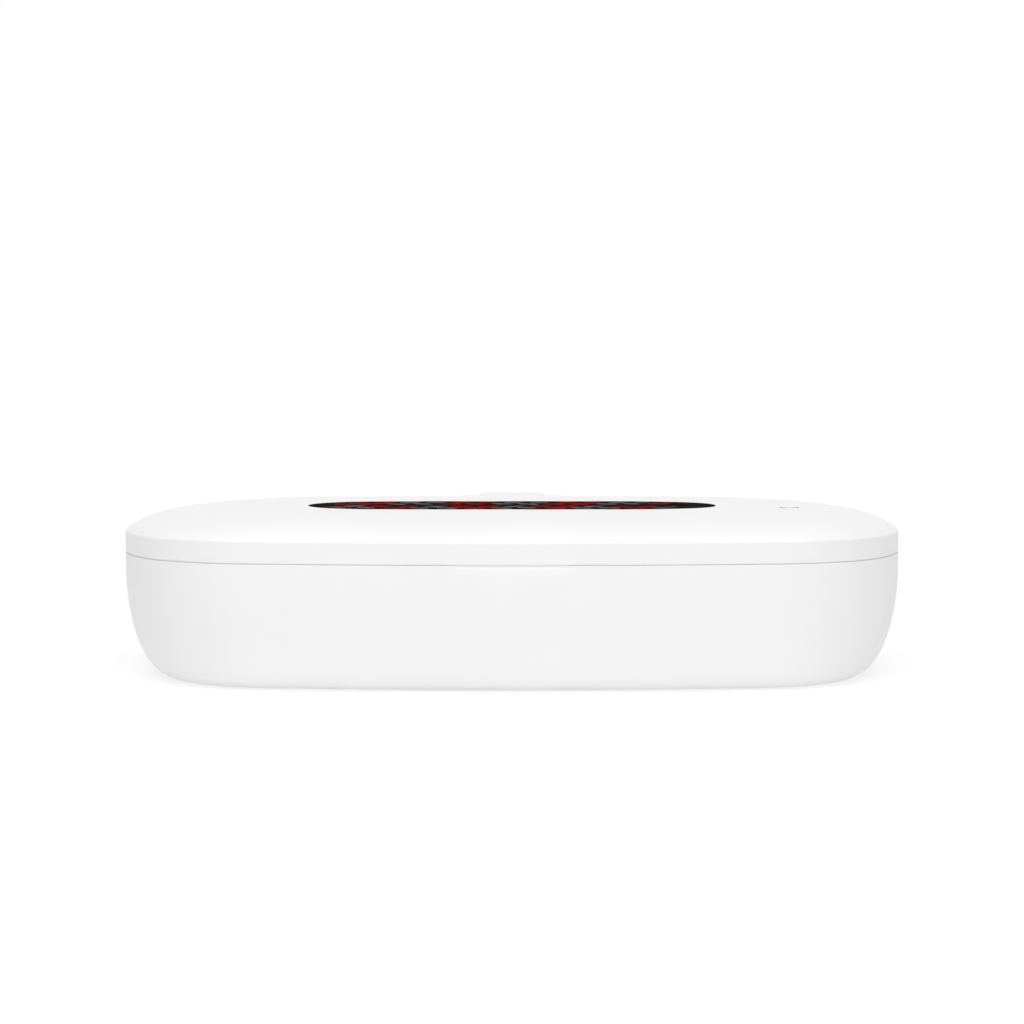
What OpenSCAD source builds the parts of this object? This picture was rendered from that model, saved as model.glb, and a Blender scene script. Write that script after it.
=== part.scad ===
// UV sanitizer box for phones: a bowl-shaped base and a domed lid on a rear hinge.
// Millimetres. +Z is up, the front is towards -Y, and z = 0 is the table under the feet.
// An inset is a distance measured inwards from the case's outline, square to it.

/* [Case outline] */
// Length of the case along X
case_l = 220; // [206:1:240]
// Depth of the case along Y
case_d = 122; // [118:1:136]
// Radius of the four corners seen from above
corner_r = 42; // [41:0.5:44]
// How far the front and rear bow out between the corners
front_bulge = 4.4; // [3:0.1:6]
// How far the two ends bow out between the corners
end_bulge = 3.6; // [2.5:0.1:5]

/* [Base] */
// Height of the base shell, from its flat bottom to its rim
base_h = 34; // [33:0.5:40]
// Wall thickness of the base shell
base_wall = 2.2; // [1.6:0.1:2.6]
// Width of the rounding under the base, seen in section
base_round_w = 12; // [9:0.5:15]
// Height of the rounding under the base, seen in section
base_round_h = 29; // [22:0.5:30]
// Width of the ledge that carries the tray
ledge_w = 2; // [1.5:0.1:2.5]
// Length of the finger notch in the front rim
notch_l = 31.5; // [24:0.5:50]
// Height of the finger notch
notch_h = 3.3; // [2.5:0.1:4.5]
// How deep the finger notch goes into the wall, at the rim
notch_in = 1; // [0.6:0.1:1.4]

/* [Feet] */
// Diameter of a rubber foot
foot_d = 10; // [9:0.5:13]
// Thickness of a rubber foot
foot_t = 1.6; // [1.4:0.1:2]
// How far the feet stand out below the base
foot_h = 0.6; // [0.4:0.1:1]
// Distance of the feet from the middle along X
foot_x = 66; // [60:1:70]
// Distance of the feet from the middle along Y
foot_y = 30; // [28:1:31]

/* [Tray] */
// Thickness of the tray's walls and floor
tray_wall = 1.5; // [1.2:0.1:1.8]
// Depth of the phone chamber below the tray's flange
chamber_depth = 17.2; // [16:0.2:18]
// Inset of the chamber at its mouth
chamber_inset = 14.5; // [14:0.1:15.5]
// How much the chamber narrows down to its floor
chamber_draft = 1.5; // [0.5:0.1:2.5]
// Radius between the chamber's wall and floor
chamber_r = 4; // [2.5:0.5:6]
// How far the tray's flange lies below the rim
flange_drop = 0.4; // [0.3:0.1:0.8]
// Number of ribs that the phone rests on
rib_count = 4; // [2:2:4]
// Distance between neighbouring ribs
rib_pitch = 36; // [34:1:38]
// Length of a rib
rib_l = 58; // [44:1:62]
// Width of a rib
rib_w = 1.6; // [1.2:0.1:3]
// Height of a rib above the chamber floor
rib_h = 2.6; // [1.5:0.1:4]

/* [Lid] */
// Dark gap between base and lid
parting_gap = 0.4; // [0.3:0.05:0.6]
// Height of the lid's upright side, up to its crease
lid_side_h = 5.5; // [5:0.1:7]
// Rise of the crown from the crease to the top
crown_h = 6.7; // [6.6:0.1:9]
// Distance inwards from the crease over which the crown rises
crown_span = 25; // [20:0.5:32]
// How far outside the crease the crown's ellipse would stand upright, which sets the crease's angle
crown_over = 2.4; // [1.6:0.1:3]
// Wall thickness of the lid
lid_wall = 2; // [1.6:0.1:2.2]
// Thickness of the lid's liner
liner_wall = 1.5; // [1.2:0.1:1.7]
// How far the liner's skirt dips into the chamber's mouth
skirt_dip = 1.2; // [0.6:0.1:2]
// Gap between the skirt and the chamber's wall
skirt_gap = 0.7; // [0.5:0.1:1]
// Height of the liner's pan above its flange
pan_rise = 2.3; // [1.8:0.1:2.5]

/* [Hinge] */
// Distance of the hinge axis inside the rear face
hinge_in = 2; // [1.8:0.1:2.2]
// Height of the hinge axis above the base's rim
hinge_rise = 7.4; // [7:0.1:8]
// Diameter of the hinge pin
pin_d = 2; // [1.6:0.1:2.4]
// Width of the base's hinge tower
tower_w = 26; // [20:1:30]
// Radius of the tower's round head
tower_r = 3.6; // [3.4:0.1:3.8]
// Thickness of the hump's skin over the tower
hump_skin = 1.4; // [1:0.1:1.6]
// Width of one lid knuckle
knuckle_w = 4.4; // [3:0.1:6]
// How far the lid opens, in degrees
lid_open = 100; // [90:1:105]
// Width of the level top of the hinge hump
hump_top_w = 17; // [14:0.5:20]
// Width of the hinge hump at its foot
hump_w = 48; // [46:1:56]
// How far the hump's flat back stands out behind the case
hump_back = 2.3; // [2.2:0.1:3]

/* [Button] */
// Distance of the button from the right end
button_in = 32; // [30:0.5:35]
// Distance of the button in front of the middle
button_front = 13; // [10:0.5:14]
// Diameter of the button
button_d = 4.2; // [4:0.1:6]
// Gap round the button in the lid
button_gap = 0.5; // [0.2:0.05:0.6]
// How far the button stands above the crown
button_proud = 0.2; // [0.1:0.05:0.8]
// Travel of the button
button_travel = 0.4; // [0.2:0.05:0.4]

/* [Lights and charger] */
// Diameter of a quartz window
window_d = 11; // [9:0.5:12]
// Thickness of a quartz window
window_t = 1; // [0.6:0.1:1]
// Side of a UV LED package
led_w = 3.5; // [2.8:0.1:5]
// Height of a UV LED package
led_h = 1.2; // [0.8:0.1:1.4]
// Width of an LED strip board
strip_w = 10; // [8:0.5:11]
// Thickness of the circuit boards
board_t = 1.6; // [1:0.1:1.6]
// Outer diameter of the charging coil
coil_d = 44; // [36:1:50]
// Inner diameter of the charging coil
coil_hole_d = 20; // [14:1:24]
// Thickness of the charging coil
coil_t = 1.8; // [1.2:0.1:1.8]
// Thickness of the ferrite sheet
ferrite_t = 0.8; // [0.4:0.1:0.8]

/* [Magnets] */
// Diameter of a magnet
magnet_d = 5; // [4:0.5:5]
// Thickness of a magnet
magnet_t = 2.8; // [2:0.1:3]
// Distance of the closing magnets from the middle
magnet_x = 45; // [36:1:50]

/* [Inlet] */
// Width of the USB socket
usb_w = 8.9; // [7:0.1:9.2]
// Height of the USB socket
usb_h = 3.3; // [2.4:0.1:3.5]
// Length of the USB socket
usb_l = 8; // [7:0.1:10]
// Width of the main board
main_w = 44; // [40:1:46]
// Depth of the main board
main_d = 34; // [30:1:36]

/* [Hidden] */
$fn = 48;

// clearances
seat_gap = 0.3;      // between a moulding and the wall that it drops into
rest_gap = 0.2;      // under or over a part that is held by something else
pin_gap = 0.01;      // pin in the tower, a fixed fit
knuckle_gap = 0.05;  // pin in the lid's knuckles, a running fit
screw_gap = 0.02;    // screw shank in its pilot hole
hinge_gap = 0.4;     // hump and lid round the tower
stop_clear = 5;      // degrees left before the hump meets the tower
head_gap = 0.3;      // round a screw's head, and round the shank of a screw in its through hole
peg_gap = 0.1;       // peg in its board, and magnet in its ring
blind_gap = 0.4;     // left beyond the end of a screw in its pilot hole
past = 1;            // how far a cut runs past what it cuts

// outline: arcs that meet without a kink
half_l = case_l / 2;
half_d = case_d / 2;
corner_x = half_l - corner_r - end_bulge;
corner_y = half_d - corner_r - front_bulge;
front_r = corner_r + front_bulge / 2 + corner_x * corner_x / (2 * front_bulge);
end_r = corner_r + end_bulge / 2 + corner_y * corner_y / (2 * end_bulge);
front_c = front_r - half_d;
end_c = half_l - end_r;
front_turn = atan2(corner_x, corner_y + front_c);
end_turn = atan2(corner_y, corner_x - end_c);
outline_arcs = [
    [[end_c, 0], end_r, -end_turn, end_turn, 8],
    [[corner_x, corner_y], corner_r, end_turn, 90 - front_turn, 10],
    [[0, -front_c], front_r, 90 - front_turn, 90 + front_turn, 6],
    [[-corner_x, corner_y], corner_r, 90 + front_turn, 180 - end_turn, 10],
    [[-end_c, 0], end_r, 180 - end_turn, 180 + end_turn, 8],
    [[-corner_x, -corner_y], corner_r, 180 + end_turn, 270 - front_turn, 10],
    [[0, front_c], front_r, 270 - front_turn, 270 + front_turn, 6],
    [[corner_x, -corner_y], corner_r, 270 + front_turn, 360 - end_turn, 10]
];
skin_steps = 8;

// heights
rim_z = foot_h + base_h;
base_floor_z = foot_h + base_wall;
flange_top = rim_z - flange_drop;
flange_z = flange_top - tray_wall;
ledge_t = 1;
tray_floor_top = flange_top - chamber_depth;
tray_floor_z = tray_floor_top - tray_wall;
lid_z = rim_z + parting_gap;
crease_z = lid_z + lid_side_h;
top_z = crease_z + crown_h;

// crown: part of an ellipse that starts inside the crease
crown_a = crown_span + crown_over;
crown_b = crown_h / (1 - sqrt(1 - pow(crown_span / crown_a, 2)));
crown_c = top_z - crown_b;

// liner
liner_z = lid_z + seat_gap;
liner_top = liner_z + liner_wall;
skirt_inset = chamber_inset + skirt_gap;
skirt_z = flange_top - skirt_dip;
pan_z = liner_z + pan_rise;
pan_top = pan_z + liner_wall;
pan_r = 2.5;

// screws and posts
tray_screw_d = 2.6;
tray_screw_head = 5;
tray_screw_head_t = 1.8;
post_d = 8;
post_h = 6.2;
post_top = base_floor_z + post_h;
foot_top = foot_t;
head_sunk = 0.6;
head_top = foot_top + tray_screw_head_t + head_sunk;
tray_post_d = 6.6;
pilot_floor = 0.6;
foot_taper = 0.4;
tray_post_z = post_top + rest_gap;
tray_pilot_l = tray_floor_z - tray_post_z - blind_gap;
small_screw_d = 1.8;
small_head_d = 3.6;
small_head_t = 1.2;
board_head_t = 0.8;
lid_pilot_l = 2.4;

// lights
standoff_h = 2;
standoff_d = 5;
strip_z = tray_floor_z - standoff_h - board_t;
strip_l = 2 * foot_x;
base_led_x = [-rib_pitch, 0, rib_pitch];
lens_hole_d = 8;
led_well_d = led_w * 0.7;
led_well_z = led_h * 0.6;
peg_d = 2;
peg_head_d = 3.4;
peg_head_t = 0.8;
peg_in = 4;
strip_margin = 9;
lid_strip_z = pan_top + led_h + rest_gap;
lid_led_pitch = 32;
lid_led_x = [for (i = [-1.5:1:1.5]) i * lid_led_pitch];
lid_strip_l = lid_led_pitch * 3 + 2 * strip_margin;

// main board and what stands on it
main_rise = 4.4;
main_z = base_floor_z + main_rise;
main_top = main_z + board_t;
main_in = 8;
main_rear = half_d - main_in;
boss_d = 4.4;
boss_in = 3;
usb_in = 3.7;
usb_rear = half_d - usb_in;
usb_z = main_top;
usb_skin = 0.35;
usb_back_t = 1;
tongue_t = 0.7;
tongue_in = 0.5;
inductor_d = 8;
inductor_core_d = 5.6;
inductor_h = 4;
inductor_rim_t = 1;
chip_w = 5;
chip_h = 0.9;
driver_l = 7;
driver_h = 1.2;
can_d = 5;
can_h = 5;
small_can_d = 4;
small_can_h = 4.4;

// lid sensor
sensor_apart = 11;
sensor_board = [9, 5, 1];
sensor_chip = [3, 2.4, 1];

// hinge
hinge_y = half_d - hinge_in;
hinge_z = rim_z + hinge_rise;
hinge_cut_r = tower_r + hinge_gap;
hump_r = hinge_cut_r + hump_skin;
deck_z = hinge_z + hump_r;
deck_front_z = min(deck_z, top_z);
tower_front = 2.6;
tower_back = hinge_in - 0.4;
lid_gap_w = tower_w + 2 * hinge_gap;
stop_edge = lid_open - acos(tower_back / hinge_cut_r) + stop_clear;
hump_rear_end = -50;
hump_root_in = 3;
hump_steps = 8;
hump_step = 0.7;
hump_step_w = 2;
hump_side = 5;
knuckle_step = 1.2;
knuckle_r = hump_r - knuckle_step;
pin_end = 0.2;
pin_l = lid_gap_w + 2 * (knuckle_w - pin_end);

// button, switch and the board under it
button_x = half_l - button_in;
button_y = -button_front;
lid_board_rise = 1.1;
lid_board_z = pan_top + lid_board_rise;
lid_board_top = lid_board_z + board_t;
lid_board_l = 34;
lid_board_off = 1;
lid_board_w = 28;
charger_chip_w = 4;
charger_chip_h = 1.5;
lid_board_x = button_x + lid_board_off;
switch_w = 6;
switch_h = 1.3;
plunger_d = 2.4;
plunger_gap = 0.07;
plunger_floor = 0.1;
button_boss_h = 0.3;
boss_face = top_z - lid_wall - button_boss_h;
cap_flange_w = 1.2;
cap_flange_d = button_d + 2 * cap_flange_w;
cap_flange_t = 0.6;
cap_flange_gap = 0.1;
cap_bevel = 0.2;
button_boss_d = cap_flange_d + 2;
stem_d = plunger_d + 0.6;
stem_h = 0.4;
switch_rise = 0.6;
cap_top = crown_z(button_in, 0) + button_proud;
cap_flange_top = boss_face - cap_flange_gap;
plunger_top = cap_flange_top - cap_flange_t - stem_h;
plunger_z = lid_board_top + switch_rise + button_travel;

// liner screws and magnets sit at this inset
edge_inset = 8.5;
liner_screw_d = 2.2;
liner_head_d = 4.4;
liner_head_t = 1.2;
liner_boss_d = 6.8;
liner_boss_h = 1.5;
liner_boss_top = liner_top + liner_boss_h;
liner_post_d = 5.6;
liner_post_gap = 0.1;
liner_post_z = liner_boss_top + liner_post_gap;
rear_screw_x = 29.5;
cup_wall = 0.8;

// coil under the crown
ferrite_margin = 2;
coil_z = top_z - lid_wall - rest_gap - coil_t;

white = "#f1f1ef";
bright = "#dfe4e8";
board_green = "#1f6b45";
steel = "#b9bcc0";

// ---- geometry helpers ----

// height of the crown at an inset, or of a surface that lies inside it
function crown_z(inset, inside) =
    crown_c + (crown_b - inside) * sqrt(1 - pow(max(0, crown_span - inset) / (crown_a - inside), 2));

// points of the crown's section from the crease to the top
function crown_section(inside) =
    let (a = crown_a - inside, b = crown_b - inside, t0 = acos((crown_span - inside) / a))
    [for (i = [0:skin_steps])
        let (t = t0 + (90 - t0) * i / skin_steps)
        [crown_span - a * cos(t), crown_c + b * sin(t)]];

// points of the base's section from the flat bottom up to the upright wall
function base_section(inside) =
    [for (i = [0:skin_steps])
        let (t = 90 - 90 * i / skin_steps)
        [base_round_w - (base_round_w - inside) * cos(t),
         foot_h + base_round_h - (base_round_h - inside) * sin(t)]];

// points of a round corner
function arc(centre, r, from, to, steps = 6) =
    [for (i = [0:steps])
        let (t = from + (to - from) * i / steps)
        [centre.x + r * cos(t), centre.y + r * sin(t)]];

// y of the rear face at a given x and inset
function rear_y(x, inset) = sqrt(pow(front_r - inset, 2) - x * x) - front_c;

// a point on the front right corner, by inset and angle from +X towards -Y
function corner_point(inset, turn) =
    [corner_x + (corner_r - inset) * cos(turn), -corner_y - (corner_r - inset) * sin(turn)];

function reversed(points) = [for (i = [len(points) - 1:-1:0]) points[i]];

function smooth(t) = let (u = min(max(t, 0), 1)) u * u * (3 - 2 * u);

// the outline at an inset, as points that run round it from the right end
function outline(inset) =
    [for (a = outline_arcs, i = [0:a[4] - 1])
        let (t = a[2] + (a[3] - a[2]) * i / a[4])
        [a[0].x + (a[1] - inset) * cos(t), a[0].y + (a[1] - inset) * sin(t)]];

// shell lofted round the outline; its section runs from the middle below to the middle above,
// as points of inset and height, and a flat plate closes each end
module shell(section) {
    n = len(outline(0));
    last = (len(section) - 1) * n;
    polyhedron(
        points = [for (p = section, q = outline(p.x)) [q.x, q.y, p.y]],
        faces = concat(
            [[for (i = [0:n - 1]) i]],
            [for (k = [0:len(section) - 2], i = [0:n - 1])
                let (j = (i + 1) % n)
                [k * n + i, (k + 1) * n + i, (k + 1) * n + j, k * n + j]],
            [[for (i = [n - 1:-1:0]) last + i]]),
        convexity = 6);
}

// a bar along X with its section drawn in Y and Z
module bar_x(length) {
    rotate([90, 0, 90])
        linear_extrude(length, center = true)
            children();
}

// places children at the four feet
module at_feet() {
    for (x = [-1, 1], y = [-1, 1])
        translate([x * foot_x, y * foot_y, 0])
            children();
}

// places children at the main board's four screws
module at_board_corners() {
    for (x = [-1, 1], y = [0, 1])
        translate([x * (main_w / 2 - boss_in), main_rear - boss_in - y * (main_d - 2 * boss_in), 0])
            children();
}

// places children at the liner's seven screws: four corners, two at the rear, one in front
module at_liner_screws() {
    for (sx = [-1, 1], sy = [-1, 1]) {
        p = corner_point(edge_inset, 45);
        translate([sx * p.x, sy * p.y, 0])
            children();
    }
    for (x = [-1, 1])
        translate([x * rear_screw_x, rear_y(rear_screw_x, edge_inset), 0])
            children();
    translate([0, -rear_y(0, edge_inset), 0])
        children();
}

// places children at the closing magnets
module at_magnets() {
    for (x = [-1, 1])
        translate([x * magnet_x, -rear_y(magnet_x, edge_inset), 0])
            children();
}

// places children at the lid board's two screws
module at_lid_board_screws() {
    for (y = [-1, 1])
        translate([lid_board_x - lid_board_l / 2 + boss_in, button_y + y * (lid_board_w / 2 - boss_in), 0])
            children();
}

// ---- base ----

module base_shell() {
    ledge_in = base_wall + ledge_w;
    inner = [for (p = base_section(base_wall)) if (p.y < flange_z - ledge_t - ledge_w) p];
    color(white)
        difference() {
            union() {
                shell(concat(
                    base_section(0),
                    [[0, rim_z], [base_wall, rim_z], [base_wall, flange_z], [ledge_in, flange_z],
                     [ledge_in, flange_z - ledge_t], [base_wall, flange_z - ledge_t - ledge_w]],
                    reversed(inner)));
                hinge_tower();
                at_feet()
                    translate([0, 0, foot_h])
                        cylinder(d = post_d, h = post_top - foot_h);
                at_board_corners()
                    translate([0, 0, foot_h + base_wall / 2])
                        cylinder(d = boss_d, h = main_z - foot_h - base_wall / 2);
            }
            finger_notch();
            at_feet() {
                translate([0, 0, foot_h - past])
                    cylinder(d = foot_d + 2 * rest_gap, h = foot_top - foot_h + past);
                cylinder(d = tray_screw_head + 2 * head_gap, h = head_top);
                cylinder(d = tray_screw_d + 2 * head_gap, h = post_top + past);
            }
            at_board_corners()
                translate([0, 0, base_floor_z + pilot_floor])
                    cylinder(d = small_screw_d + 2 * screw_gap, h = main_z);
            usb_hole();
            translate([-tower_w, hinge_y, hinge_z])
                rotate([0, 90, 0])
                    cylinder(d = pin_d + 2 * pin_gap, h = 2 * tower_w, $fn = 32);
        }
}

// post with a round head that rises from the rear wall and carries the pin
module hinge_tower() {
    root_z = flange_z - ledge_t - ledge_w;
    bar_x(tower_w) {
        polygon([
            [hinge_y + tower_back, root_z],
            [hinge_y + tower_back, hinge_z],
            [hinge_y - tower_front, hinge_z],
            [hinge_y - tower_front, root_z + tower_front],
            [hinge_y, root_z]]);
        translate([hinge_y, hinge_z])
            circle(tower_r);
    }
}

// scoop in the front rim that runs out to nothing at its lower edge
module finger_notch() {
    bar_x(notch_l)
        polygon([
            [-half_d - past, rim_z + past],
            [-half_d - past, rim_z - notch_h * (1 + past / notch_in)],
            [-half_d + notch_in * (1 + past / notch_h), rim_z + past]]);
}

// slot with round ends, the shape of the socket's mouth
module usb_outline(grow) {
    r = usb_h / 2 + grow;
    square([usb_w - usb_h, 2 * r], center = true);
    for (side = [-1, 1])
        translate([side * (usb_w - usb_h) / 2, 0])
            circle(r);
}

module usb_hole() {
    translate([0, half_d + past, usb_z + usb_h / 2])
        rotate([90, 0, 0])
            linear_extrude(usb_l + past)
                usb_outline(seat_gap);
}

module chamber_tray() {
    edge = base_wall + seat_gap;
    bottom_inset = chamber_inset + chamber_draft;
    c = [bottom_inset + chamber_r, tray_floor_top + chamber_r];
    color(bright)
        difference() {
            union() {
                shell(concat(
                    arc(c, chamber_r + tray_wall, 270, 180, 4),
                    [[chamber_inset - tray_wall, flange_z], [edge, flange_z], [edge, flange_top],
                     [chamber_inset, flange_top]],
                    arc(c, chamber_r, 180, 270, 4)));
                for (i = [0:rib_count - 1])
                    translate([(i - (rib_count - 1) / 2) * rib_pitch, 0, tray_floor_z + tray_wall / 2])
                        rest_rib();
                at_feet()
                    translate([0, 0, tray_post_z])
                        cylinder(d = tray_post_d, h = tray_floor_z + tray_wall / 2 - tray_post_z);
                at_strip_pegs(strip_l)
                    translate([0, 0, strip_z + board_t])
                        cylinder(d = standoff_d, h = standoff_h + tray_wall / 2);
                at_strip_pegs(strip_l)
                    peg(strip_z - peg_head_t, tray_floor_z, strip_z - peg_head_t);
                at_magnets()
                    magnet_cup(flange_z - magnet_t - rest_gap);
            }
            at_feet()
                translate([0, 0, tray_post_z - past])
                    cylinder(d = tray_screw_d + 2 * screw_gap, h = tray_pilot_l + past);
            for (x = base_led_x)
                translate([x, 0, 0])
                    window_seat(tray_floor_top - window_t, tray_floor_top + past, tray_floor_z - past);
            translate([-lid_gap_w / 2, hinge_y - tower_front - hinge_gap, flange_z - past])
                cube([lid_gap_w, half_d, tray_wall + 2 * past]);
        }
}

// round-topped rib, set into the chamber's floor
module rest_rib() {
    top = tray_wall / 2 + rib_h;
    translate([-rib_w / 2, -rib_l / 2, 0])
        cube([rib_w, rib_l, top - rib_w / 2]);
    translate([0, 0, top - rib_w / 2])
        rotate([90, 0, 0])
            cylinder(d = rib_w, h = rib_l, center = true, $fn = 24);
}

// stepped hole for a window, with its seat at low_z on the side that high_z names
module window_seat(low_z, high_z, through_z) {
    z = min(low_z, high_z);
    translate([0, 0, z])
        cylinder(d = window_d + 2 * rest_gap, h = abs(high_z - low_z));
    translate([0, 0, min(through_z, z)])
        cylinder(d = lens_hole_d, h = max(abs(through_z - z), liner_wall + tray_wall));
}

module at_strip_pegs(length) {
    for (side = [-1, 1])
        translate([side * (length / 2 - peg_in), 0, 0])
            children();
}

// staked peg: a pin with a round head at head_z
module peg(low_z, high_z, head_z) {
    translate([0, 0, low_z])
        cylinder(d = peg_d, h = high_z - low_z, $fn = 24);
    translate([0, 0, head_z])
        cylinder(d = peg_head_d, h = peg_head_t, $fn = 24);
}

// ring that holds a magnet, open at both ends
module magnet_cup(z) {
    translate([0, 0, z])
        difference() {
            cylinder(d = magnet_d + 2 * (peg_gap + cup_wall), h = magnet_t + rest_gap);
            translate([0, 0, -past])
                cylinder(d = magnet_d + 2 * peg_gap, h = magnet_t + rest_gap + past);
        }
}

module base_windows() {
    color("#cfe0ea", 0.6)
        for (x = base_led_x)
            translate([x, 0, tray_floor_top - window_t])
                cylinder(d = window_d, h = window_t);
}

// square ceramic package with a round well
module uv_led() {
    difference() {
        translate([-led_w / 2, -led_w / 2, 0])
            cube([led_w, led_w, led_h]);
        translate([0, 0, led_well_z])
            cylinder(d = led_well_d, h = led_h, $fn = 32);
    }
}

module base_uv_leds() {
    color("#e9d9a0")
        for (x = base_led_x)
            translate([x, 0, strip_z + board_t])
                uv_led();
}

module strip_board(length, z) {
    difference() {
        translate([-length / 2, -strip_w / 2, z])
            cube([length, strip_w, board_t]);
        at_strip_pegs(length)
            translate([0, 0, z - past])
                cylinder(d = peg_d + 2 * peg_gap, h = board_t + 2 * past, $fn = 24);
    }
}

module base_led_board() {
    color("#e8e8e4")
        strip_board(strip_l, strip_z);
}

module main_board() {
    color(board_green)
        difference() {
            translate([-main_w / 2, main_rear - main_d, main_z])
                cube([main_w, main_d, board_t]);
            at_board_corners()
                translate([0, 0, main_z - past])
                    cylinder(d = small_screw_d + 2 * rest_gap, h = board_t + 2 * past, $fn = 24);
        }
}

// places are shares of the board's width and depth, from its middle
module board_parts() {
    color("#2b2d30")
        translate([0, main_rear - main_d / 2, main_top]) {
            translate([-main_w * 0.2, main_d * 0.06, 0])
                inductor();
            translate([main_w * 0.07, -main_d * 0.18, 0])
                cube([driver_l, chip_w, driver_h]);
            translate([main_w * 0.11, main_d * 0.15, 0])
                cube([chip_w, chip_w, chip_h]);
            translate([-main_w * 0.3, -main_d * 0.32, 0])
                cylinder(d = can_d, h = can_h);
            translate([main_w * 0.3, -main_d * 0.24, 0])
                cylinder(d = small_can_d, h = small_can_h);
        }
}

// drum core between two flanges
module inductor() {
    cylinder(d = inductor_d, h = inductor_rim_t);
    cylinder(d = inductor_core_d, h = inductor_h);
    translate([0, 0, inductor_h - inductor_rim_t])
        cylinder(d = inductor_d, h = inductor_rim_t);
}

module usb_socket() {
    color(steel)
        translate([0, usb_rear, usb_z + usb_h / 2])
            rotate([90, 0, 0])
                difference() {
                    linear_extrude(usb_l)
                        usb_outline(0);
                    translate([0, 0, -past])
                        linear_extrude(usb_l - usb_back_t + past)
                            usb_outline(-usb_skin);
                }
    color("#202225")
        translate([-(usb_w - usb_h) / 2, usb_rear - usb_l + usb_back_t / 2, usb_z + (usb_h - tongue_t) / 2])
            cube([usb_w - usb_h, usb_l - usb_back_t / 2 - tongue_in, tongue_t]);
}

module small_screws(head_z, length) {
    translate([0, 0, head_z])
        cylinder(d = small_head_d, h = small_head_t);
    translate([0, 0, head_z - length])
        cylinder(d = small_screw_d, h = length, $fn = 24);
}

module board_screws() {
    color(steel)
        at_board_corners()
            small_screws(main_top, main_top - base_floor_z - pilot_floor - blind_gap);
}

module tray_screws() {
    color(steel)
        at_feet() {
            translate([0, 0, head_top - tray_screw_head_t])
                cylinder(d = tray_screw_head, h = tray_screw_head_t);
            translate([0, 0, head_top])
                cylinder(d = tray_screw_d, h = tray_floor_z - head_top - 3 * blind_gap, $fn = 32);
        }
}

module rubber_feet() {
    color("#8e9194")
        at_feet() {
            cylinder(d1 = foot_d - 2 * foot_taper, d2 = foot_d, h = foot_h);
            translate([0, 0, foot_h])
                cylinder(d = foot_d, h = foot_t - foot_h);
        }
}

module base_magnets() {
    color(steel)
        at_magnets()
            translate([0, 0, flange_z - magnet_t])
                cylinder(d = magnet_d, h = magnet_t);
}

// sensor on its own small board, stuck under the tray's flange beside the right magnet
module lid_sensor() {
    x = magnet_x + sensor_apart;
    color(board_green)
        translate([x, -rear_y(x, edge_inset), flange_z - sensor_board.z])
            rotate(-front_turn * x / corner_x) {
                translate([-sensor_board.x / 2, -sensor_board.y / 2, 0])
                    cube(sensor_board);
                translate([-sensor_chip.x / 2, -sensor_chip.y / 2, -sensor_chip.z])
                    cube(sensor_chip);
            }
}

module hinge_pin() {
    color(steel)
        translate([-pin_l / 2, hinge_y, hinge_z])
            rotate([0, 90, 0])
                cylinder(d = pin_d, h = pin_l, $fn = 32);
}

// ---- lid ----

module lid_cover() {
    color(white)
        difference() {
            union() {
                shell(concat(
                    reversed(crown_section(lid_wall)),
                    [[lid_wall, lid_z], [0, lid_z]],
                    crown_section(0)));
                hinge_hump();
                knuckles();
                at_liner_screws()
                    hanging_post(liner_post_d, liner_post_z, edge_inset);
                at_lid_board_screws()
                    hanging_post(boss_d, lid_board_top, corner_r);
                translate([button_x, button_y, 0])
                    hanging_post(button_boss_d, boss_face, button_in);
            }
            tower_room();
            translate([-hump_w, hinge_y, hinge_z])
                rotate([0, 90, 0])
                    cylinder(d = pin_d + 2 * knuckle_gap, h = 2 * hump_w, $fn = 32);
            at_liner_screws()
                translate([0, 0, liner_post_z - past])
                    cylinder(d = liner_screw_d + 2 * screw_gap, h = post_depth() + past, $fn = 24);
            at_lid_board_screws()
                translate([0, 0, lid_board_top - past])
                    cylinder(d = small_screw_d + 2 * screw_gap, h = lid_pilot_l + past, $fn = 24);
            translate([button_x, button_y, boss_face - past])
                cylinder(d = button_d + 2 * button_gap, h = top_z, $fn = 48);
        }
}

// depth of a liner screw's pilot hole, which stays inside the skin
function post_depth() = crown_z(edge_inset, lid_wall) - liner_post_z - seat_gap;

// round post that hangs from the crown and stops half-way through its skin
module hanging_post(d, z, inset) {
    translate([0, 0, z])
        cylinder(d = d, h = crown_z(inset - d / 2, lid_wall / 2) - z, $fn = 32);
}

// the hump is a section along X cut to a section across it
module hinge_hump() {
    half = hump_w / 2;
    deck_in = deck_inset();
    intersection() {
        bar_x(hump_w)
            polygon(concat(
                [[half_d - deck_in, deck_front_z]],
                [for (p = arc([hinge_y, hinge_z], hump_r, 90, hump_rear_end, 14))
                    [min(p.x, half_d + hump_back), p.y]],
                [for (i = [0:hump_steps])
                    let (inset = hump_root_in + (deck_in - hump_root_in) * i / hump_steps)
                    [half_d - inset, crown_z(inset, lid_wall / 2)]]));
        translate([0, half_d + hump_back + past, 0])
            rotate([90, 0, 0])
                linear_extrude(half_d)
                    polygon(concat(
                        [[-half, lid_z]],
                        [for (i = [0:4 * hump_steps])
                            let (x = -half + hump_w * i / (4 * hump_steps))
                            [x, deck_z - hump_drop(abs(x))]],
                        [[half, lid_z]]));
    }
}

// inset at which the hump's deck runs out into the crown
function deck_inset() =
    crown_span - crown_a * sqrt(max(0, 1 - pow((deck_front_z - crown_c) / crown_b, 2)));

// how far the hump has fallen at a distance from the middle
function hump_drop(x) =
    let (side_x = max(0, x - hump_top_w / 2 - hump_step_w), side_w = (hump_w - hump_top_w) / 2 - hump_step_w)
    hump_step * smooth((x - hump_top_w / 2) / hump_step_w) + hump_side * pow(side_x / side_w, 3);

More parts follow.
